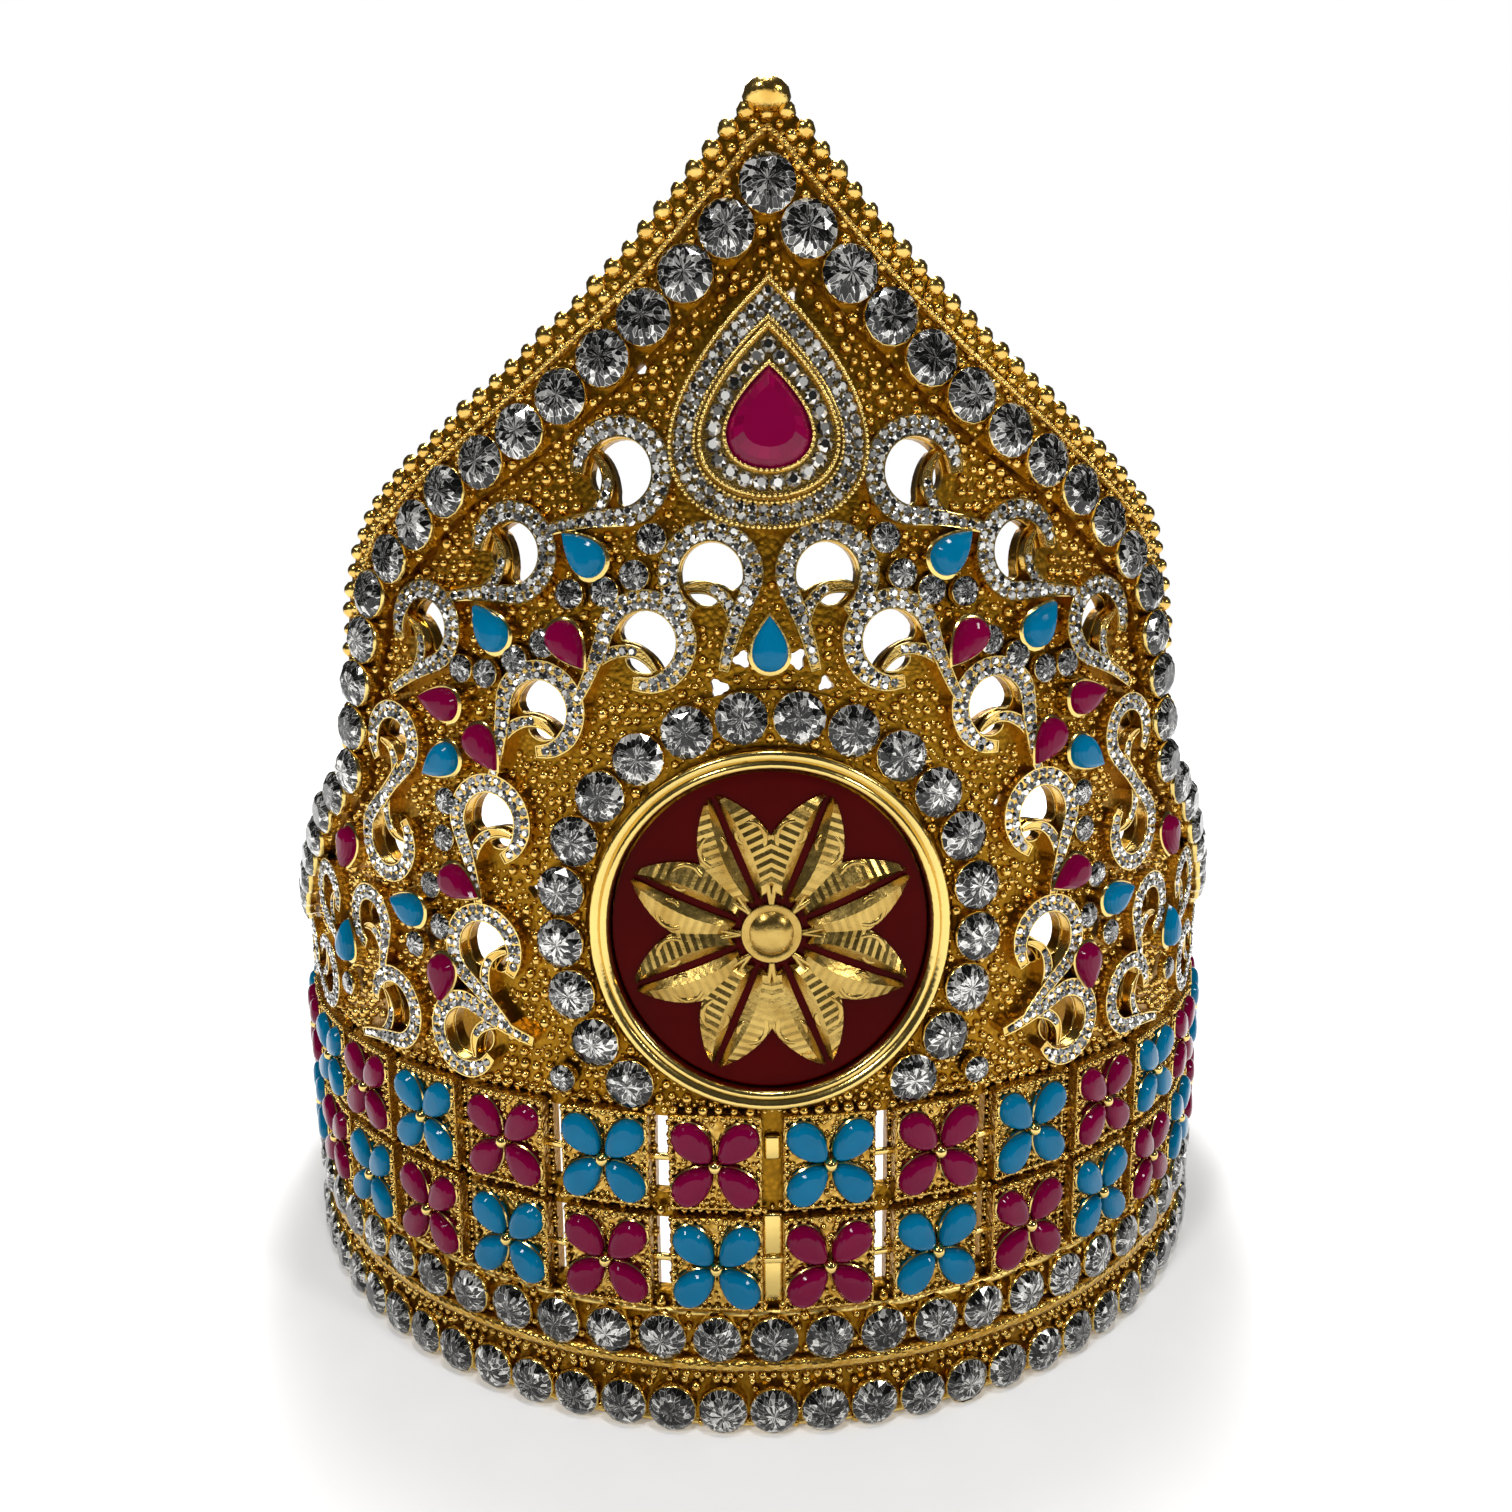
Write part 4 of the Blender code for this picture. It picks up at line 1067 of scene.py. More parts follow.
def enamel_red(colours):
    """Deep red enamel with a slightly wavy, glassy face."""
    net = Net("enamel_red")
    wave = net.noise(70.0, 2.0)
    specks = net.noise(1200.0, 1.0)
    tone = net.mix(wave, shade(colours.enamel, 0.7), shade(colours.enamel, 1.6))
    return net.surface(
        Base_Color=tone, Metallic=0.0, Roughness=0.10 + 0.06 * specks,
        Specular_IOR_Level=0.03, Normal=net.bump(wave, 0.0008, 0.25),
    )


def pale_floor(colours):
    """Matt pale floor with the faintest mottling, and a painted glow of its own: dim near the middle and
    nearly white further out.
    """
    net = Net("pale_floor")
    mottle = net.noise(14.0, 3.0)
    tone = net.mix(mottle, shade(colours.floor, 0.985), shade(colours.floor, 1.015))
    # Painted glow: the floor gives off light, rising with the distance from the middle.
    reach = net.node("ShaderNodeVectorMath", {"operation": "LENGTH"}, {0: net.place()}, "Value")
    glow = net.ramp(reach, ((0.09, (0.16, 0.16, 0.16)), (0.7, (0.9, 0.9, 0.9))))
    return net.surface(
        Base_Color=tone, Metallic=0.0, Roughness=0.75 + 0.1 * mottle, Emission_Color=glow,
        Emission_Strength=1.0,
    )


LOOKS = {
    "polished_gold": polished_gold,
    "satin_gold": satin_gold,
    "darker_ornament_gold": darker_ornament_gold,
    "bead_gold": bead_gold,
    "ground_gold": ground_gold,
    "tile_gold": tile_gold,
    "ruby": lambda colours: glossy_stone("ruby_red", colours.ruby),
    "turquoise": lambda colours: glossy_stone("turquoise_blue", colours.turquoise),
    "jewel_red": jewel_red,
    "enamel": enamel_red,
    "rhinestone": lambda colours: crystal("rhinestone", True, DEEP_SPARKLE),
    "fine_crystal": lambda colours: crystal("fine_crystal", False, CRISP_SPARKLE),
    "floor": pale_floor,
}
made_looks = {}


def look(name):
    """The named material, made the first time that it is wanted."""
    if name not in made_looks:
        made_looks[name] = LOOKS[name](bpy.context.scene.crown_colours)
    return made_looks[name]


# The crown's pieces


class CROWN_OT_wall(bpy.types.Operator):
    """Pierced wall and the band at its foot"""

    bl_idname = "crown.wall"
    bl_label = "Wall and band"

    def execute(self, context):
        sizes = context.scene.crown_sizes
        edge = inset_edge(BORDER_INSET + 0.4 * sizes.border_bead)
        foot = BAND_HEIGHT - 3.0 * MM
        outlines = [[Vector((edge[0].x, foot)), *edge, Vector((edge[-1].x, foot))]]
        for centre, size, way, hand, mirror in scroll_places():
            outlines += scroll_holes(sizes.ribbon_width, centre, size, way, hand, mirror)
        outlines += [pinhole_outline(*pinhole) for pinhole in PINHOLES]
        for middle in TILE_MIDDLES:
            for column in range(1, COLUMNS_PER_SIDE):
                for mirror in (1, -1):
                    centre = flat(column * COLUMN_ANGLE * mirror, middle)
                    outlines.append([
                        centre + Vector((x * SLOT_WIDTH / 2, y * SLOT_HEIGHT / 2))
                        for x, y in ((-1, -1), (1, -1), (1, 1), (-1, 1))
                    ])
        wall = bend(plate(outlines, -WALL_THICKNESS, 0.0, flat(2.5, 0).x))
        outer = WALL_RADIUS + BAND_RELIEF
        profile = (
            (outer - 3.2 * MM, 0.4 * MM), (outer - 2.8 * MM, 0.0), (outer - 0.4 * MM, 0.0),
            (outer, 0.4 * MM), (outer, RIDGE_HEIGHT - RIDGE_HALF_WIDTH),
            (outer + 0.8 * MM, RIDGE_HEIGHT - 0.5 * MM), (outer + 1.1 * MM, RIDGE_HEIGHT),
            (outer + 0.8 * MM, RIDGE_HEIGHT + 0.5 * MM), (outer, RIDGE_HEIGHT + RIDGE_HALF_WIDTH),
            (outer, BAND_HEIGHT - 0.4 * MM), (outer - 0.4 * MM, BAND_HEIGHT),
            (outer - 3.2 * MM, BAND_HEIGHT),
        )
        wall.from_mesh(to_mesh(turned(profile, 144), "band"))
        make_piece("crown_wall", wall, "ground_gold", ("crown_frame",), 35.0)
        rails = bmesh.new()
        inner = offset(both_sides(arch_line()), -RAIL_HALF_WIDTH)
        halo = smooth(halo_centres(), 3)
        for sides in (
            (resample(edge, RAIL_STEPS), resample(inner, RAIL_STEPS)),
            (offset(halo, RAIL_HALF_WIDTH), offset(halo, -RAIL_HALF_WIDTH)),
        ):
            add_strip(rails, *sides, -RAIL_ROOT, PANEL_RELIEF)
        make_piece("raised_rails", bend(rails), "ground_gold", sharp=35.0)
        return {"FINISHED"}


def resample(line, count):
    """The line with so many points, spaced evenly."""
    length = sum((b - a).length for a, b in zip(line, line[1:]))
    return every(line, length / (count - 1))


class CROWN_OT_border(bpy.types.Operator):
    """Beads and wires along the wall's edge, the band and the tiles' foot"""

    bl_idname = "crown.border"
    bl_label = "Border beads and wires"

    def execute(self, context):
        sizes = context.scene.crown_sizes
        rng = random.Random(sizes.seed)
        big = sizes.border_bead / 2
        small = sizes.small_bead / 2
        outer_row = [
            seat(place, 0.75 * PANEL_RELIEF, any_turn(rng), big * rng.uniform(0.80, 1.04))
            for place in every(inset_edge(BORDER_INSET + big), sizes.border_bead * 1.08)
        ]
        shape = repeat(bead(10, 6, None), outer_row)
        cap = seat(flat(0, CROWN_HEIGHT - CAP_DROP), PANEL_RELIEF, 0.0, CAP_RADIUS)
        repeat(bead(16, 10, None), [cap @ Matrix.Diagonal((1.15, 0.85, 1, 1))], shape)
        half_beads = [
            seat(place, PANEL_RELIEF, any_turn(rng), small * rng.uniform(0.6, 1.05))
            for place in every(inset_edge(SECOND_ROW_INSET), sizes.small_bead * 0.98)
        ]
        wire_line = inset_edge(WIRE_INSET)
        rope = [
            seat(place, PANEL_RELIEF + 0.6 * MM, any_turn(rng), rng.uniform(*ROPE_RADII))
            for place in every(wire_line, ROPE_PITCH)
        ]
        repeat(granule(), rope, shape)
        for angle in steps_each_way(COLUMNS_PER_SIDE * COLUMN_ANGLE, TILE_FOOT_BEAD_ANGLE):
            place = flat(angle, TILE_FOOT_BEADS)
            half_beads.append(seat(place, 0.5 * MM, any_turn(rng), TILE_FOOT_BEAD_RADIUS))
        for angle in steps_each_way(RIDGE_BEADS_END_ANGLE, RIDGE_BEAD_ANGLE):
            for height in RIDGE_BEADS:
                size = rng.uniform(*RIDGE_BEAD_RADII)
                lift = BAND_RELIEF + 0.1 * MM
                half_beads.append(seat(flat(angle, height), lift, any_turn(rng), size))
        for angle in steps_each_way(PANEL_BEADS_END_ANGLE, PANEL_FOOT_BEAD_ANGLE):
            place = flat(angle, PANEL_FOOT_BEADS)
            half_beads.append(seat(place, 0.2 * MM, any_turn(rng), PANEL_FOOT_BEAD_RADIUS))
        repeat(bead(8, 6, -0.3), half_beads, shape)
        make_piece("border_beads", shape, "bead_gold", sharp=60.0)
        lines = [(lifted(wire_line, PANEL_RELIEF + 0.4 * MM), False)]
        for height in (FOOT_WIRE_HEIGHT, BAND_HEIGHT - 0.4 * MM):
            lines.append((lifted(level_loop(height), BAND_RELIEF), True))
        make_piece("border_wires", bend(wires(lines, BORDER_WIRE)), "satin_gold", sharp=60.0)
        ridge = lifted(level_loop(RIDGE_HEIGHT), BAND_RELIEF + 0.5 * MM)
        bar = wires([(ridge, True)], RIDGE_BAR, 2)
        make_piece("ridge_bar", bend(bar), "tile_gold", sharp=60.0)
        return {"FINISHED"}


def steps_each_way(reach, step):
    """Angles spaced evenly from one side to the other, as near to the step as they fit."""
    count = int(2 * reach / step)
    return [-reach + 2 * reach * index / count for index in range(count + 1)]


def level_loop(height):
    """A line all the way round the crown in the flat drawing."""
    return [flat(angle, height) for angle in range(-178, 180, 2)]


class CROWN_OT_scrolls(bpy.types.Operator):
    """Ribbons of the scrolls with their edge wires and fine stones"""

    bl_idname = "crown.scrolls"
    bl_label = "Scrolls"

    def execute(self, context):
        sizes = context.scene.crown_sizes
        rng = random.Random(sizes.seed + 1)
        ribbons = bmesh.new()
        lines = []
        places = []
        for centre, size, way, hand, mirror in scroll_places():
            line = placed(scroll_line(size, hand, sizes.ribbon_width), centre, way, mirror)
            widths = scroll_widths(len(line), sizes.ribbon_width)
            rim = add_ribbon(ribbons, line, widths, sizes.ribbon_height)
            lines.append((lifted(rim, sizes.ribbon_height - 0.02 * MM), True))
            for hole in scroll_holes(sizes.ribbon_width, centre, size, way, hand, mirror):
                lines.append((lifted(hole, 0.15 * MM), True))
            places += ribbon_stones(line, widths, sizes, rng)
            tongue = placed(tongue_line(size, hand, sizes.ribbon_width), centre, way, mirror)
            widths = tongue_widths(len(tongue))
            top = sizes.ribbon_height - TONGUE_DROP
            lines.append((lifted(add_ribbon(ribbons, tongue, widths, top), top), True))
            places += ribbon_stones(tongue[:-5], widths, sizes, rng, -TONGUE_DROP)
        make_piece("scroll_ribbons", bend(ribbons), "bead_gold", sharp=40.0)
        make_piece("scroll_wires", bend(wires(lines, sizes.wire)), "polished_gold", sharp=60.0)
        make_stones("fine_stones", FINE_STONE, places, rng, "fine_crystal")
        return {"FINISHED"}


def ribbon_stones(line, widths, sizes, rng, lower=0.0):
    """Places of the stones on a ribbon: two rows where it is wide, one where it is narrow."""
    pitch = sizes.fine_stone * 0.96
    radius = sizes.fine_stone / 2
    lift = sizes.ribbon_height + 0.05 * MM + lower
    middles = every(line, pitch)
    ways = directions(middles)
    made = []
    for index in range(1, len(middles) - 1):
        at = index / (len(middles) - 1) * (len(widths) - 1)
        shift = widths[int(at)] - 0.86 * radius
        aways = (shift, -shift) if shift > 0.48 * radius else (0.0,)
        for away in aways:
            spot = middles[index] + left_of(ways[index]) * away
            spin = any_turn(rng)
            size = radius * rng.uniform(0.92, 1.02)
            lean = math.radians(rng.uniform(0.0, RIBBON_STONE_LEAN))
            made.append(seat(spot, lift, spin, size, lean, any_turn(rng)))
    return made


class CROWN_OT_rhinestones(bpy.types.Operator):
    """The four rows of large stones, the small round stones and their cups"""

    bl_idname = "crown.rhinestones"
    bl_label = "Rhinestones"

    def execute(self, context):
        sizes = context.scene.crown_sizes
        rng = random.Random(sizes.seed + 2)
        spots = [(place, BAND_RELIEF) for place in band_centres()]
        spots += [(place, PANEL_RELIEF) for place in [*arch_centres(), *halo_centres()]]
        stones = []
        cups = []
        for place, relief in spots:
            lift = relief + GIRDLE_LIFT
            lean = math.radians(rng.uniform(0.0, STONE_LEAN))
            stones.append(seat(place, lift, any_turn(rng), CUP_RADIUS * 1.01, lean, any_turn(rng)))
            cups.append(seat(place, lift, any_turn(rng), CUP_RADIUS * 1.035))
        for x, y in SMALL_STONES:
            for mirror in (1, -1):
                place = Vector((x * mirror, y)) * MM
                radius = sizes.small_stone / 2
                stones.append(seat(place, SMALL_STONE_LIFT, any_turn(rng), radius * 0.97))
                cups.append(seat(place, SMALL_STONE_LIFT, any_turn(rng), radius * 1.02))
        rows = ("bottom_stone_row", "upper_stone_row", "arch_stone_row", "halo_stone_row")
        make_stones("rhinestones", BRILLIANT, stones, rng, "rhinestone", rows)
        cup = to_mesh(turned(CUP_SECTION, 14), "cup")
        make_piece("stone_cups", repeat(cup, cups), "polished_gold", sharp=50.0)
        return {"FINISHED"}


class CROWN_OT_granulation(bpy.types.Operator):
    """Granules scattered over the ground between the stones"""

    bl_idname = "crown.granulation"
    bl_label = "Granulation"

    def execute(self, context):
        sizes = context.scene.crown_sizes
        rng = random.Random(sizes.seed + 3)
        kept = Scatter(obstacles(sizes))
        radii = (sizes.granule_small / 2, sizes.granule_large / 2)
        places = panel_grains(kept, 0.9 * sizes.granule_small, radii, 0.86, rng)
        band = Scatter([(place, 0.96 * CUP_RADIUS) for place in band_centres()])
        widest = edge_line()[-1].x
        for _ in range(BAND_GRAIN_TRIES):
            spot = Vector((rng.uniform(-widest, widest), rng.uniform(*BAND_GRAIN_HEIGHTS)))
            radius = rng.uniform(*BAND_GRAIN_RADII)
            if abs(spot.y - RIDGE_HEIGHT) > RIDGE_CLEARANCE and band.add(spot, 0.9 * radius):
                places.append(seat(spot, BAND_RELIEF + SEAT_GAP, any_turn(rng), radius))
        shape = repeat(granule(), places)
        fillers = panel_grains(kept, FILLER_PITCH, FILLER_RADII, 1.0, rng)
        repeat(bead(5, 4, -0.2), fillers, shape)
        make_piece("granules", shape, "bead_gold", sharp=60.0)
        return {"FINISHED"}


def panel_grains(kept, pitch, radii, share, rng):
    """Granules over the panel, each where there is room for a share of its radius."""
    edge = edge_line()
    rail = offset(arch_line(), -RAIL_HALF_WIDTH)
    middle = flat(0, MEDALLION_HEIGHT)
    made = []
    for spot in jittered(edge[-1].x, pitch, rng):
        if spot.y > level_at(edge, spot.x):
            continue
        beside_halo = (spot - middle).length < HALO_RADIUS + RAIL_HALF_WIDTH
        raised = beside_halo or spot.y > level_at(rail, spot.x)
        radius = rng.uniform(*radii)
        if kept.add(spot, share * radius):
            made.append(seat(spot, PANEL_RELIEF if raised else 0.0, any_turn(rng), radius))
    return made


def jittered(widest, pitch, rng):
    """Places in staggered rows over the panel, each a little off its own spot."""
    rows = int((CROWN_HEIGHT - PANEL_FOOT) / (0.87 * pitch))
    columns = int(widest / pitch)
    for row in range(rows):
        for column in range(-columns, columns + 1):
            x = (column + 0.5 * (row % 2) + rng.uniform(-0.22, 0.22)) * pitch
            y = PANEL_FOOT + (row + rng.uniform(-0.22, 0.22)) * 0.87 * pitch
            yield Vector((x, y))


class Scatter:
    """Keeps round things apart in the flat drawing."""

    def __init__(self, taken):
        self.kept = {}
        self.large = []
        for place, radius in taken:
            if radius > SCATTER_CELL:
                self.large.append((place, radius))
            else:
                self.keep(place, radius)

    def square(self, place):
        return math.floor(place.x / SCATTER_CELL), math.floor(place.y / SCATTER_CELL)

    def keep(self, place, radius):
        self.kept.setdefault(self.square(place), []).append((place, radius))

    def add(self, place, radius):
        """Keeps a round thing if nothing else is in its way, and says whether it did."""
        if any((place - other).length < radius + reach for other, reach in self.large):
            return False
        column, row = self.square(place)
        for i in range(column - 2, column + 3):
            for j in range(row - 2, row + 3):
                for other, reach in self.kept.get((i, j), ()):
                    if (place - other).length < radius + reach:
                        return False
        self.keep(place, radius)
        return True


def obstacles(sizes):
    """Round places that the granules keep clear of."""
    made = [(place, CUP_RADIUS - 0.1 * MM) for place in [*arch_centres(), *halo_centres()]]
    made.append((flat(0, MEDALLION_HEIGHT), MEDALLION_RADIUS + 0.2 * MM))
    made += [(place, EDGE_CLEARANCE) for place in every(both_sides(edge_line()), 1.5 * MM)]
    made += [(Vector((x, y)) * MM, (radius + 0.1) * MM) for x, y, radius in PINHOLES]
    for centre, size, way, hand, mirror in scroll_places():
        middle = Vector((centre.x * mirror, centre.y))
        made.append((middle, size * SCROLL_RADIUS - 0.2 * MM))
        line = placed(scroll_line(size, hand, sizes.ribbon_width), centre, way, mirror)
        made += [(place, TAIL_CLEARANCE) for place in line[:10]]
    for angle, share, way, _ in DROPS:
        for mirror in (1, -1):
            for along, reach in ((-1.2, 2.6), (1.4, 1.6), (3.0, 0.6)):
                spot = placed([Vector((along * MM, 0.0))], chart((angle, share)), way, mirror)[0]
                made.append((spot, reach * MM))
    centre = Vector((0.0, CENTRE_DROP_HEIGHT))
    made += [(centre, 2.6 * MM), (centre + Vector((0.0, 2.6 * MM)), 1.4 * MM)]
    for point in crest_outline(0.0, 40):
        made.append((Vector((0.0, point.y)), abs(point.x) + 0.1 * MM))
    for x, y in SMALL_STONES:
        made += [(Vector((x * mirror, y)) * MM, 1.8 * MM) for mirror in (1, -1)]
    return made


class CROWN_OT_tiles(bpy.types.Operator):
    """Two rows of tiles, each with four petals round a bead"""

    bl_idname = "crown.tiles"
    bl_label = "Tiles"

    def execute(self, context):
        sizes = context.scene.crown_sizes
        rng = random.Random(sizes.seed + 4)
        spots = []
        for row, middle in enumerate(TILE_MIDDLES):
            for column in range(-COLUMNS_PER_SIDE, COLUMNS_PER_SIDE):
                stone = ("turquoise", "ruby")[tile_choice(column, row)]
                spots.append((flat((column + 0.5) * COLUMN_ANGLE, middle), stone))
        rests = [seat(place, 0.0) for place, _ in spots]
        body = repeat(tile_body(), rests)
        replaced = ("lower_tile_row", "upper_tile_row")
        make_piece("tiles", settle(body), "tile_gold", replaced, 35.0)
        petal = petal_stone(sizes.petal_height)
        places = {"turquoise": [], "ruby": []}
        shift = Matrix.Translation((PETAL_LENGTH / 2 + PETAL_CLEARANCE, 0.0, TILE_FACE - PETAL_SINK))
        for place, stone in spots:
            for turn in range(4):
                spin = math.radians(45 + 90 * turn)
                places[stone].append(seat(place, 0.0, spin) @ shift)
        for stone, where in places.items():
            make_piece(f"{stone}_petals", repeat(petal, where), stone, sharp=60.0)
        rims = repeat(petal_bezel(), places["turquoise"] + places["ruby"])
        dots = [seat(place, TILE_FACE + 0.9 * MM, 0.0, 1.0 * MM) for place, _ in spots]
        repeat(bead(10, 6, -0.3), dots, rims)
        bars = [seat(flat(angle, middle), 0.6 * MM) for middle in TILE_MIDDLES for angle in slot_angles()]
        repeat(block(*BAR), bars, rims)
        for height, lift, *form in FRONT_PLATES:
            repeat(block(*form), [seat(flat(0, height * MM), lift * MM)], rims)
        make_piece("tile_rims", rims, "polished_gold", sharp=50.0)
        grains = []
        for place, _ in spots:
            grains += tile_grains(seat(place, TILE_FACE), rng)
        grains += gap_grains(rng)
        make_piece("tile_grains", repeat(granule(), grains), "bead_gold", sharp=60.0)
        return {"FINISHED"}


def tile_grains(rest, rng):
    """Places of the grains along a tile's four edges and on the ground between its petals."""
    made = []
    for side in range(4):
        turn = Matrix.Rotation(math.radians(90 * side), 4, "Z")
        along, across = (TILE_WIDTH, TILE_HEIGHT) if side % 2 == 0 else (TILE_HEIGHT, TILE_WIDTH)
        for index in range(EDGE_GRAINS):
            share = index / (EDGE_GRAINS - 1) - 0.5
            spot = (share * (along - 0.8 * MM), across / 2 - 0.45 * MM, 0.0)
            size = rng.uniform(*EDGE_GRAIN_RADII)
            made.append(rest @ turn @ Matrix.Translation(spot) @ Matrix.Scale(size, 4))
    for _ in range(GROUND_GRAINS):
        spot = Vector((rng.uniform(-5.4, 5.4), rng.uniform(-5.9, 5.9))) * MM
        if abs(abs(spot.x) - abs(spot.y)) > 1.7 * MM and spot.length > 1.2 * MM:
            size = rng.uniform(*GROUND_GRAIN_RADII)
            made.append(rest @ Matrix.Translation((*spot, -0.25 * MM)) @ Matrix.Scale(size, 4))
    return made


def gap_grains(rng):
    """Lumps that make the wall ragged between the rows of tiles and beside the slots."""
    made = []
    between = sum(TILE_MIDDLES) / 2
    for angle in steps_each_way(COLUMNS_PER_SIDE * COLUMN_ANGLE - 0.5, GAP_GRAIN_ANGLE):
        spot = flat(angle, between + rng.uniform(-0.5, 0.5) * MM)
        lift = rng.uniform(0.1, 1.0) * MM
        made.append(seat(spot, lift, any_turn(rng), rng.uniform(*GAP_GRAIN_RADII)))
    for angle in slot_angles():
        for middle in TILE_MIDDLES:
            for side in (-1, 1):
                for index in range(SLOT_GRAINS):
                    out = (SLOT_WIDTH / 2 + rng.uniform(0.1, 0.5) * MM) * side
                    up = (index / (SLOT_GRAINS - 1) - 0.5 + rng.uniform(-0.03, 0.03)) * SLOT_HEIGHT
                    spot = flat(angle, middle) + Vector((out, up))
                    made.append(seat(spot, 0.1 * MM, any_turn(rng), rng.uniform(*SLOT_GRAIN_RADII)))
    return made


def slot_angles():
    """Angles of the slots between the columns of tiles, without the plated one in the middle."""
    columns = range(1 - COLUMNS_PER_SIDE, COLUMNS_PER_SIDE)
    return [column * COLUMN_ANGLE for column in columns if column]


def tile_choice(column, row):
    """Which stone a tile carries: they change places along each row and between the rows."""
    if column >= 0:
        return (column + row + 1) % 2
    return (row - column - 1) % 2


def block(width, height, depth, soft):
    """A small block with softened edges, in millimetres."""
    shape = bmesh.new()
    bmesh.ops.create_cube(shape, size=1.0)
    bmesh.ops.scale(shape, vec=(width * MM, height * MM, depth * MM), verts=shape.verts)
    bmesh.ops.bevel(
        shape, geom=shape.edges[:], offset=soft * MM, segments=2, profile=0.5, affect="EDGES", material=-1
    )
    return to_mesh(shape, "block")


def tile_body():
    """A tile with a raised rim round a sunk ground."""
    shape = bmesh.new()
    bmesh.ops.create_cube(shape, size=1.0)
    bmesh.ops.scale(shape, vec=(TILE_WIDTH, TILE_HEIGHT, TILE_FACE - SEAT_GAP), verts=shape.verts)
    bmesh.ops.translate(shape, vec=(0.0, 0.0, (TILE_FACE + SEAT_GAP) / 2), verts=shape.verts)
    upright = [edge for edge in shape.edges if edge.verts[0].co.xy == edge.verts[1].co.xy]
    bmesh.ops.bevel(
        shape, geom=upright, offset=0.5 * MM, segments=2, profile=0.5, affect="EDGES", material=-1
    )
    top = [face for face in shape.faces if face.normal.z > 0.9]
    bmesh.ops.inset_region(shape, faces=top, thickness=0.10 * MM, depth=0.10 * MM)
    bmesh.ops.inset_region(shape, faces=top, thickness=0.22 * MM, depth=0.0)
    bmesh.ops.inset_region(shape, faces=top, thickness=0.12 * MM, depth=-0.38 * MM)
    return to_mesh(shape, "tile")


def petal_stone(height):
    """A petal's cabochon with its point towards the tile's bead."""
    outline = [Vector((-p.x, -p.y)) for p in petal_points(PETAL_LENGTH, PETAL_WIDTH, 18)]
    steps = [(share, high * height) for share, high in PETAL_STEPS]
    return to_mesh(dome(outline, steps, (0.5 * MM, 0.0)), "petal")


def petal_bezel():
    """The thin gold wall round a petal."""
    points = petal_points(PETAL_LENGTH + 0.2 * MM, PETAL_WIDTH + 0.2 * MM, 18)
    outline = [Vector((-p.x, -p.y)) for p in points]
    return to_mesh(wires([(lifted(outline, 0.62 * MM), True)], 0.30 * MM, 0), "bezel")


# Sections of the medallion's turned parts: radius, height, in millimetres.
RIM_SECTION = (
    (24.2, 0.3), (24.2, 2.2), (24.05, 2.75), (23.65, 3.1), (23.2, 3.05), (22.9, 2.75), (22.75, 2.6),
    (22.6, 2.72), (22.3, 2.95), (21.95, 2.9), (21.65, 2.5), (21.5, 1.9), (21.5, 0.3),
)
DISC_SECTION = (
    (0.0, 1.62), (4.0, 1.61), (8.0, 1.60), (12.0, 1.58), (16.0, 1.55), (20.0, 1.52), (21.2, 1.45),
    (21.2, 0.3), (14.0, 0.3), (7.0, 0.3), (0.0, 0.3),
)
HUB_SECTION = (
    (0.0, 3.1), (1.6, 2.95), (2.4, 2.6), (2.9, 2.1), (3.4, 2.3), (3.9, 2.2), (4.1, 1.7), (4.1, 1.5),
    (0.0, 1.5),
)


class CROWN_OT_medallion(bpy.types.Operator):
    """Double rim, enamel disc and flower of the medallion"""

    bl_idname = "crown.medallion"
    bl_label = "Medallion"

    def execute(self, context):
        centre = Vector((0.0, MEDALLION_HEIGHT))
        rim = medallion_part(RIM_SECTION, 96, closed=True)
        make_piece("medallion_ring", bend(rim), "polished_gold", ("medallion_rim",), 60.0)
        disc = medallion_part(DISC_SECTION, 72)
        make_piece("enamel_disc", bend(disc), "enamel", ("medallion_enamel",), 60.0)
        flower = bmesh.new()
        for index in range(ORNAMENT_POINTS):
            way = 90.0 - (index + 0.5) * 360.0 / ORNAMENT_POINTS
            for hand in (1, -1):
                add_blade(flower, centre, way, hand)
        ornament = ("medallion_ornament",)
        make_piece("medallion_flower", bend(flower), "darker_ornament_gold", ornament, 20.0)
        curls = []
        for index in range(ORNAMENT_POINTS):
            way = 90.0 - index * 360.0 / ORNAMENT_POINTS
            for hand in (1, -1):
                line = placed(handed(curl_line(), hand), centre, way)
                curls.append((lifted(line, 2.0 * MM), False))
        shape = wires(curls, CURL_WIRE, 2)
        shape.from_mesh(to_mesh(medallion_part(HUB_SECTION, 40), "hub"))
        make_piece("medallion_curls", bend(shape), "darker_ornament_gold", sharp=50.0)
        return {"FINISHED"}


def medallion_part(section, steps, closed=False):
    """A ring or disc turned about the medallion's middle."""
    shape = turned([(radius * MM, height * MM) for radius, height in section], steps, closed)
    bmesh.ops.translate(shape, vec=(0.0, MEDALLION_HEIGHT, 0.0), verts=shape.verts)
    return shape


def curl_line():
    """A stem that leaves the hub between two petals and curls to one side."""
    made = [Vector((4.0, 0.0)), Vector((6.5, 0.5)), Vector((9.0, 0.9)), Vector((11.2, 1.0))]
    for step in range(9):
        angle = math.radians(-90.0 + 42.0 * step)
        reach = 2.3 - 0.21 * step
        made.append(Vector((13.0, 3.0)) + Vector((math.cos(angle), math.sin(angle))) * reach)
    return [p * MM for p in smooth(made, 2)]


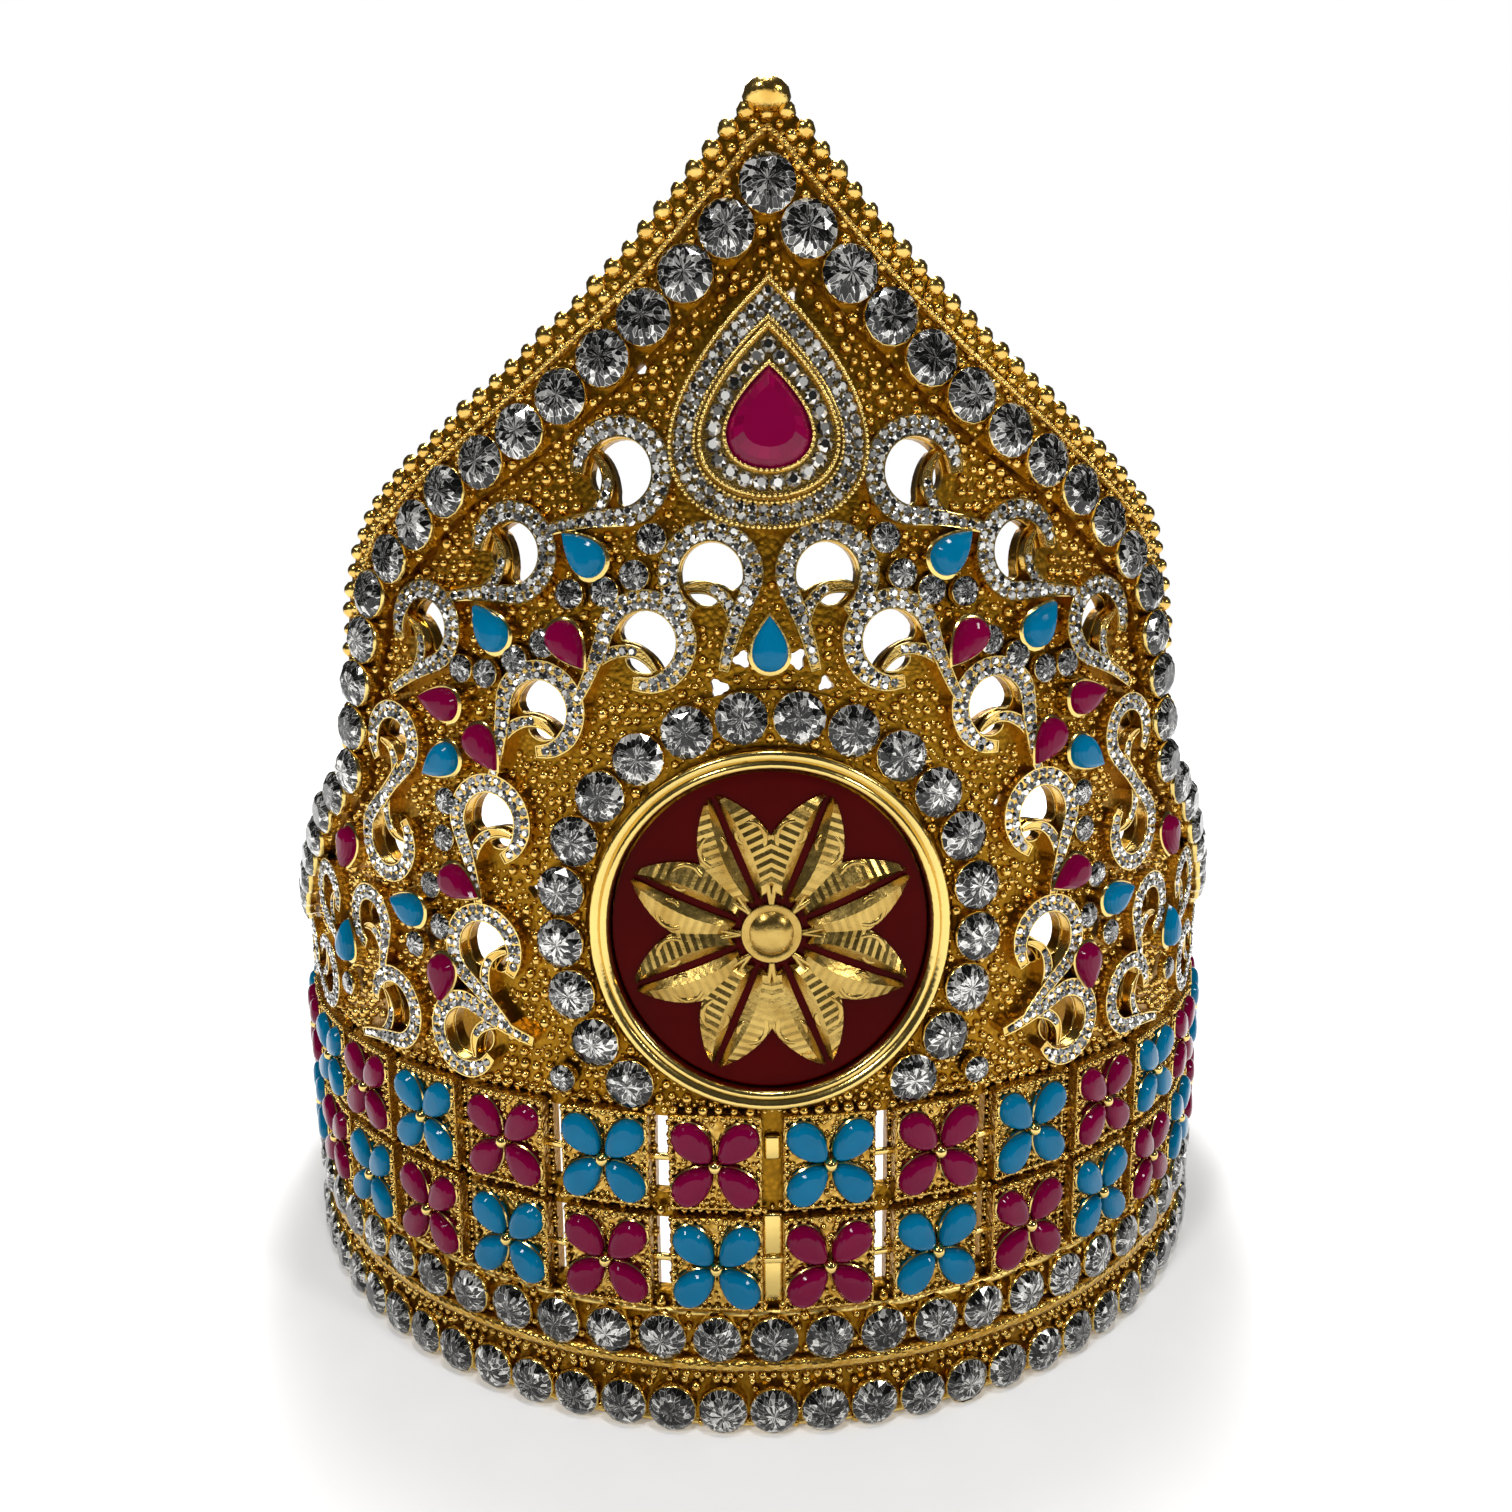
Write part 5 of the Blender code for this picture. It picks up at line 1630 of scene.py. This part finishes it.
def add_blade(shape, centre, way, hand):
    """One half of a petal: a sloping face, cut across into narrow facets, beside a pierced slot."""
    ridge = []
    side = []
    for index in range(BLADE_POINTS):
        at = index / (BLADE_POINTS - 1)
        along = (0.25 + 0.75 * at) * ORNAMENT_RADIUS
        swell = math.sin(math.pi * at ** 0.85) ** 0.8
        high = (2.75 + (0.16 if index % 2 else 0.0)) * MM
        ridge.append(Vector((along, hand * (0.55 * MM + 1.3 * MM * swell), high)))
        low = (2.1 if index % 2 else 2.0) * MM
        side.append(Vector((along, hand * (0.75 * MM + 4.2 * MM * swell), low)))
    inner = [Vector((p.x, hand * 0.2 * MM + p.y * 0.18, 1.9 * MM)) for p in ridge]
    chains = []
    turn = Matrix.Rotation(math.radians(way), 2)
    for line in (inner, ridge, side):
        verts = []
        for point in line:
            spot = centre + turn @ point.xy
            verts.append(shape.verts.new((spot.x, spot.y, point.z)))
        chains.append([shape.edges.new(pair) for pair in zip(verts, verts[1:])])
    faces = []
    for a, b in zip(chains, chains[1:]):
        faces += bmesh.ops.bridge_loops(shape, edges=a + b)["faces"]
    for item in bmesh.ops.extrude_face_region(shape, geom=faces)["geom"]:
        if isinstance(item, bmesh.types.BMVert):
            item.co.z = 1.5 * MM


class CROWN_OT_crest(bpy.types.Operator):
    """Double ring of the crest with its stones and the cut red stone"""

    bl_idname = "crown.crest"
    bl_label = "Crest"

    def execute(self, context):
        sizes = context.scene.crown_sizes
        rng = random.Random(sizes.seed + 5)
        inner_start = CREST_RING_WIDTH + CREST_CHANNEL_WIDTH
        pocket = inner_start + CREST_RING_WIDTH
        rings = bmesh.new()
        lines = []
        spans = ((0.0, CREST_RING_WIDTH), (inner_start, pocket))
        for (start, stop), high in zip(spans, CREST_RING_HEIGHTS):
            outer = crest_outline(start, 64)
            inner = crest_outline(stop, 64)
            add_strip(rings, outer, inner, SEAT_GAP, high, ring=True)
            for inset in (start - 0.1 * MM, stop):
                lines.append((lifted(crest_outline(inset, 64), high + 0.4 * MM), True))
        base = bmesh.new()
        foot = lifted(crest_outline(0.4 * MM, 40), SEAT_GAP)
        base.faces.new([base.verts.new(point) for point in foot])
        thicken(base, base.faces[:], CREST_BASE_HEIGHT)
        rings.from_mesh(to_mesh(base, "crest_base"))
        make_piece("crest_rings", bend(rings), "bead_gold", ("crest_setting",), 40.0)
        edges = bend(wires(lines, CREST_WIRE))
        milling = []
        for line, _ in lines:
            for place in every([*line, line[0]], CREST_MILLING_PITCH)[:-1]:
                lift = place.z + 0.1 * MM
                milling.append(seat(place.xy, lift, any_turn(rng), rng.uniform(*CREST_MILLING_RADII)))
        repeat(granule(), milling, edges)
        make_piece("crest_wires", edges, "polished_gold", sharp=60.0)
        places = []
        radius = sizes.fine_stone / 2
        rows = (
            (0.88 * MM, radius, 2.2 * MM), (2.12 * MM, radius, 2.2 * MM),
            (inner_start + 1.45 * MM, CREST_STONE_RADIUS, 2.9 * MM),
        )
        for inset, size, lift in rows:
            loop = crest_outline(inset, 64)
            for place in every([*loop, loop[0]], 2.04 * size)[:-1]:
                spin = any_turn(rng)
                lean = math.radians(rng.uniform(0.0, CREST_STONE_LEAN))
                places.append(seat(place, lift, spin, size, lean, any_turn(rng)))
        make_stones("crest_stones", FINE_STONE, places, rng, "fine_crystal")
        steps = ((1.0, 1.5 * MM), (0.82, 2.2 * MM), (0.60, 2.75 * MM))
        middle = (0.0, CREST_MIDDLE - CREST_INSET_DROP * pocket)
        jewel = dome(crest_outline(pocket + 0.15 * MM, 24), steps, middle)
        bmesh.ops.translate(jewel, vec=(0.0, 0.0, 1.4 * MM), verts=jewel.verts)
        jewel = bend(jewel)
        give_sparkle(jewel, len(jewel.faces), rng)
        make_piece("crest_jewel", jewel, "jewel_red", ("crest_ruby",), sharp=None)
        return {"FINISHED"}


class CROWN_OT_drops(bpy.types.Operator):
    """Red and blue drops in their gold bezels"""

    bl_idname = "crown.drops"
    bl_label = "Drops"

    def execute(self, context):
        outline = drop_points(DROP_LENGTH, DROP_WIDTH, 28)
        steps = [(share, high * DROP_DEPTH) for share, high in DROP_STEPS]
        stone = to_mesh(dome(outline, steps, (-0.9 * MM, 0.0)), "drop")
        around = drop_points(DROP_LENGTH + 0.9 * MM, DROP_WIDTH + 0.8 * MM, 28)
        bezel = to_mesh(dome(around, ((1.0, 2.15 * MM), (0.93, 2.35 * MM))), "bezel")
        foot = PANEL_RELIEF + SEAT_GAP
        spots = {"turquoise": [(flat(0, CENTRE_DROP_HEIGHT), 90)], "ruby": []}
        nodes = {"turquoise": ["drop_centre"], "ruby": []}
        for index, (angle, share, way, kind) in enumerate(DROPS, start=1):
            spot = chart((angle, share))
            spots[kind] += [(spot, way), (Vector((-spot.x, spot.y)), 180 - way)]
            nodes[kind] += [f"drop_right_{index:02d}", f"drop_left_{index:02d}"]
        walls = []
        for kind, where in spots.items():
            rests = [seat(place, foot, math.radians(way)) for place, way in where]
            walls += [seat(place, 0.0, math.radians(way)) for place, way in where]
            make_piece(f"{kind}_drops", repeat(stone, rests), kind, nodes[kind], 60.0)
        make_piece("drop_bezels", repeat(bezel, walls), "polished_gold", sharp=40.0)
        return {"FINISHED"}


class CROWN_OT_stage(bpy.types.Operator):
    """Floor, lights, world and camera"""

    bl_idname = "crown.stage"
    bl_label = "Stage"

    def execute(self, context):
        scene = context.scene
        shape = bmesh.new()
        bmesh.ops.create_circle(shape, cap_ends=True, segments=64, radius=3.0)
        mesh = bpy.data.meshes.new("floor")
        shape.to_mesh(mesh)
        shape.free()
        mesh.materials.append(look("floor"))
        floor = bpy.data.objects.new("floor", mesh)
        scene.collection.objects.link(floor)
        for index, (place, power, size) in enumerate(LIGHTS):
            light = bpy.data.lights.new(f"softbox_{index}", "AREA")
            light.energy = power
            light.size = size
            made = bpy.data.objects.new(f"softbox_{index}", light)
            made.location = place
            aim = LIGHTS_AIM - Vector(place)
            made.rotation_euler = aim.to_track_quat("-Z", "Y").to_euler()
            scene.collection.objects.link(made)
        make_world(scene)
        make_camera(scene)
        return {"FINISHED"}


def make_world(scene):
    """White behind the crown, a soft light on matt things and a dim room in its reflections."""
    world = bpy.data.worlds.new("studio")
    world.use_nodes = True
    tree = world.node_tree
    tree.nodes.clear()
    path = tree.nodes.new("ShaderNodeLightPath")
    output = tree.nodes.new("ShaderNodeOutputWorld")
    shown = None
    for strength, ray in ((0.24, None), (0.06, "Is Glossy Ray"), (1.0, "Is Camera Ray")):
        background = tree.nodes.new("ShaderNodeBackground")
        background.inputs["Color"].default_value = (1.0, 1.0, 1.0, 1.0)
        background.inputs["Strength"].default_value = strength
        if ray:
            mix = tree.nodes.new("ShaderNodeMixShader")
            tree.links.new(path.outputs[ray], mix.inputs[0])
            tree.links.new(shown, mix.inputs[1])
            tree.links.new(background.outputs[0], mix.inputs[2])
            shown = mix.outputs[0]
        else:
            shown = background.outputs[0]
    tree.links.new(shown, output.inputs["Surface"])
    scene.world = world
    scene.view_settings.view_transform = "Standard"


def make_camera(scene):
    """Camera close in front of the crown, a little above its middle and looking down."""
    camera = bpy.data.cameras.new("camera")
    camera.sensor_width = 36.0
    camera.lens = camera.sensor_width * FOCAL_LENGTH / PHOTO_WIDTH
    camera.clip_start = 0.01
    made = bpy.data.objects.new("camera", camera)
    swing, turn, pitch, roll = (math.radians(angle) for angle in CAMERA_ANGLES)
    made.location = (
        CAMERA_DISTANCE * math.sin(swing), -CAMERA_DISTANCE * math.cos(swing), CAMERA_HEIGHT,
    )
    heading = swing + turn
    level = math.cos(pitch)
    look_way = Vector((-math.sin(heading) * level, math.cos(heading) * level, -math.sin(pitch)))
    made.rotation_mode = "QUATERNION"
    rolled = Matrix.Rotation(roll, 4, "Z").to_quaternion()
    made.rotation_quaternion = look_way.to_track_quat("-Z", "Y") @ rolled
    scene.collection.objects.link(made)
    scene.camera = made


OPERATORS = (
    CROWN_OT_wall, CROWN_OT_border, CROWN_OT_scrolls, CROWN_OT_rhinestones, CROWN_OT_granulation,
    CROWN_OT_tiles, CROWN_OT_medallion, CROWN_OT_crest, CROWN_OT_drops, CROWN_OT_stage,
)


class CROWN_PT_panel(bpy.types.Panel):
    """Lists the crown's sizes, colours and pieces"""

    bl_idname = "CROWN_PT_panel"
    bl_label = "Ceremonial Crown"
    bl_space_type = "VIEW_3D"
    bl_region_type = "UI"
    bl_category = "Crown"

    def draw(self, context):
        for group in (context.scene.crown_sizes, context.scene.crown_colours):
            box = self.layout.box()
            for name in group.__annotations__:
                box.prop(group, name)
        for operator in OPERATORS:
            self.layout.operator(operator.bl_idname)


CLASSES = (CrownSizes, CrownColours, *OPERATORS, CROWN_PT_panel)


def register():
    for kind in CLASSES:
        bpy.utils.register_class(kind)
    bpy.types.Scene.crown_sizes = PointerProperty(type=CrownSizes)
    bpy.types.Scene.crown_colours = PointerProperty(type=CrownColours)


def unregister():
    del bpy.types.Scene.crown_colours
    del bpy.types.Scene.crown_sizes
    for kind in reversed(CLASSES):
        bpy.utils.unregister_class(kind)


def main():
    register()
    bpy.ops.crown.wall()
    bpy.ops.crown.border()
    bpy.ops.crown.scrolls()
    bpy.ops.crown.rhinestones()
    bpy.ops.crown.granulation()
    bpy.ops.crown.tiles()
    bpy.ops.crown.medallion()
    bpy.ops.crown.crest()
    bpy.ops.crown.drops()
    bpy.ops.crown.stage()


if __name__ == "__main__":
    main()
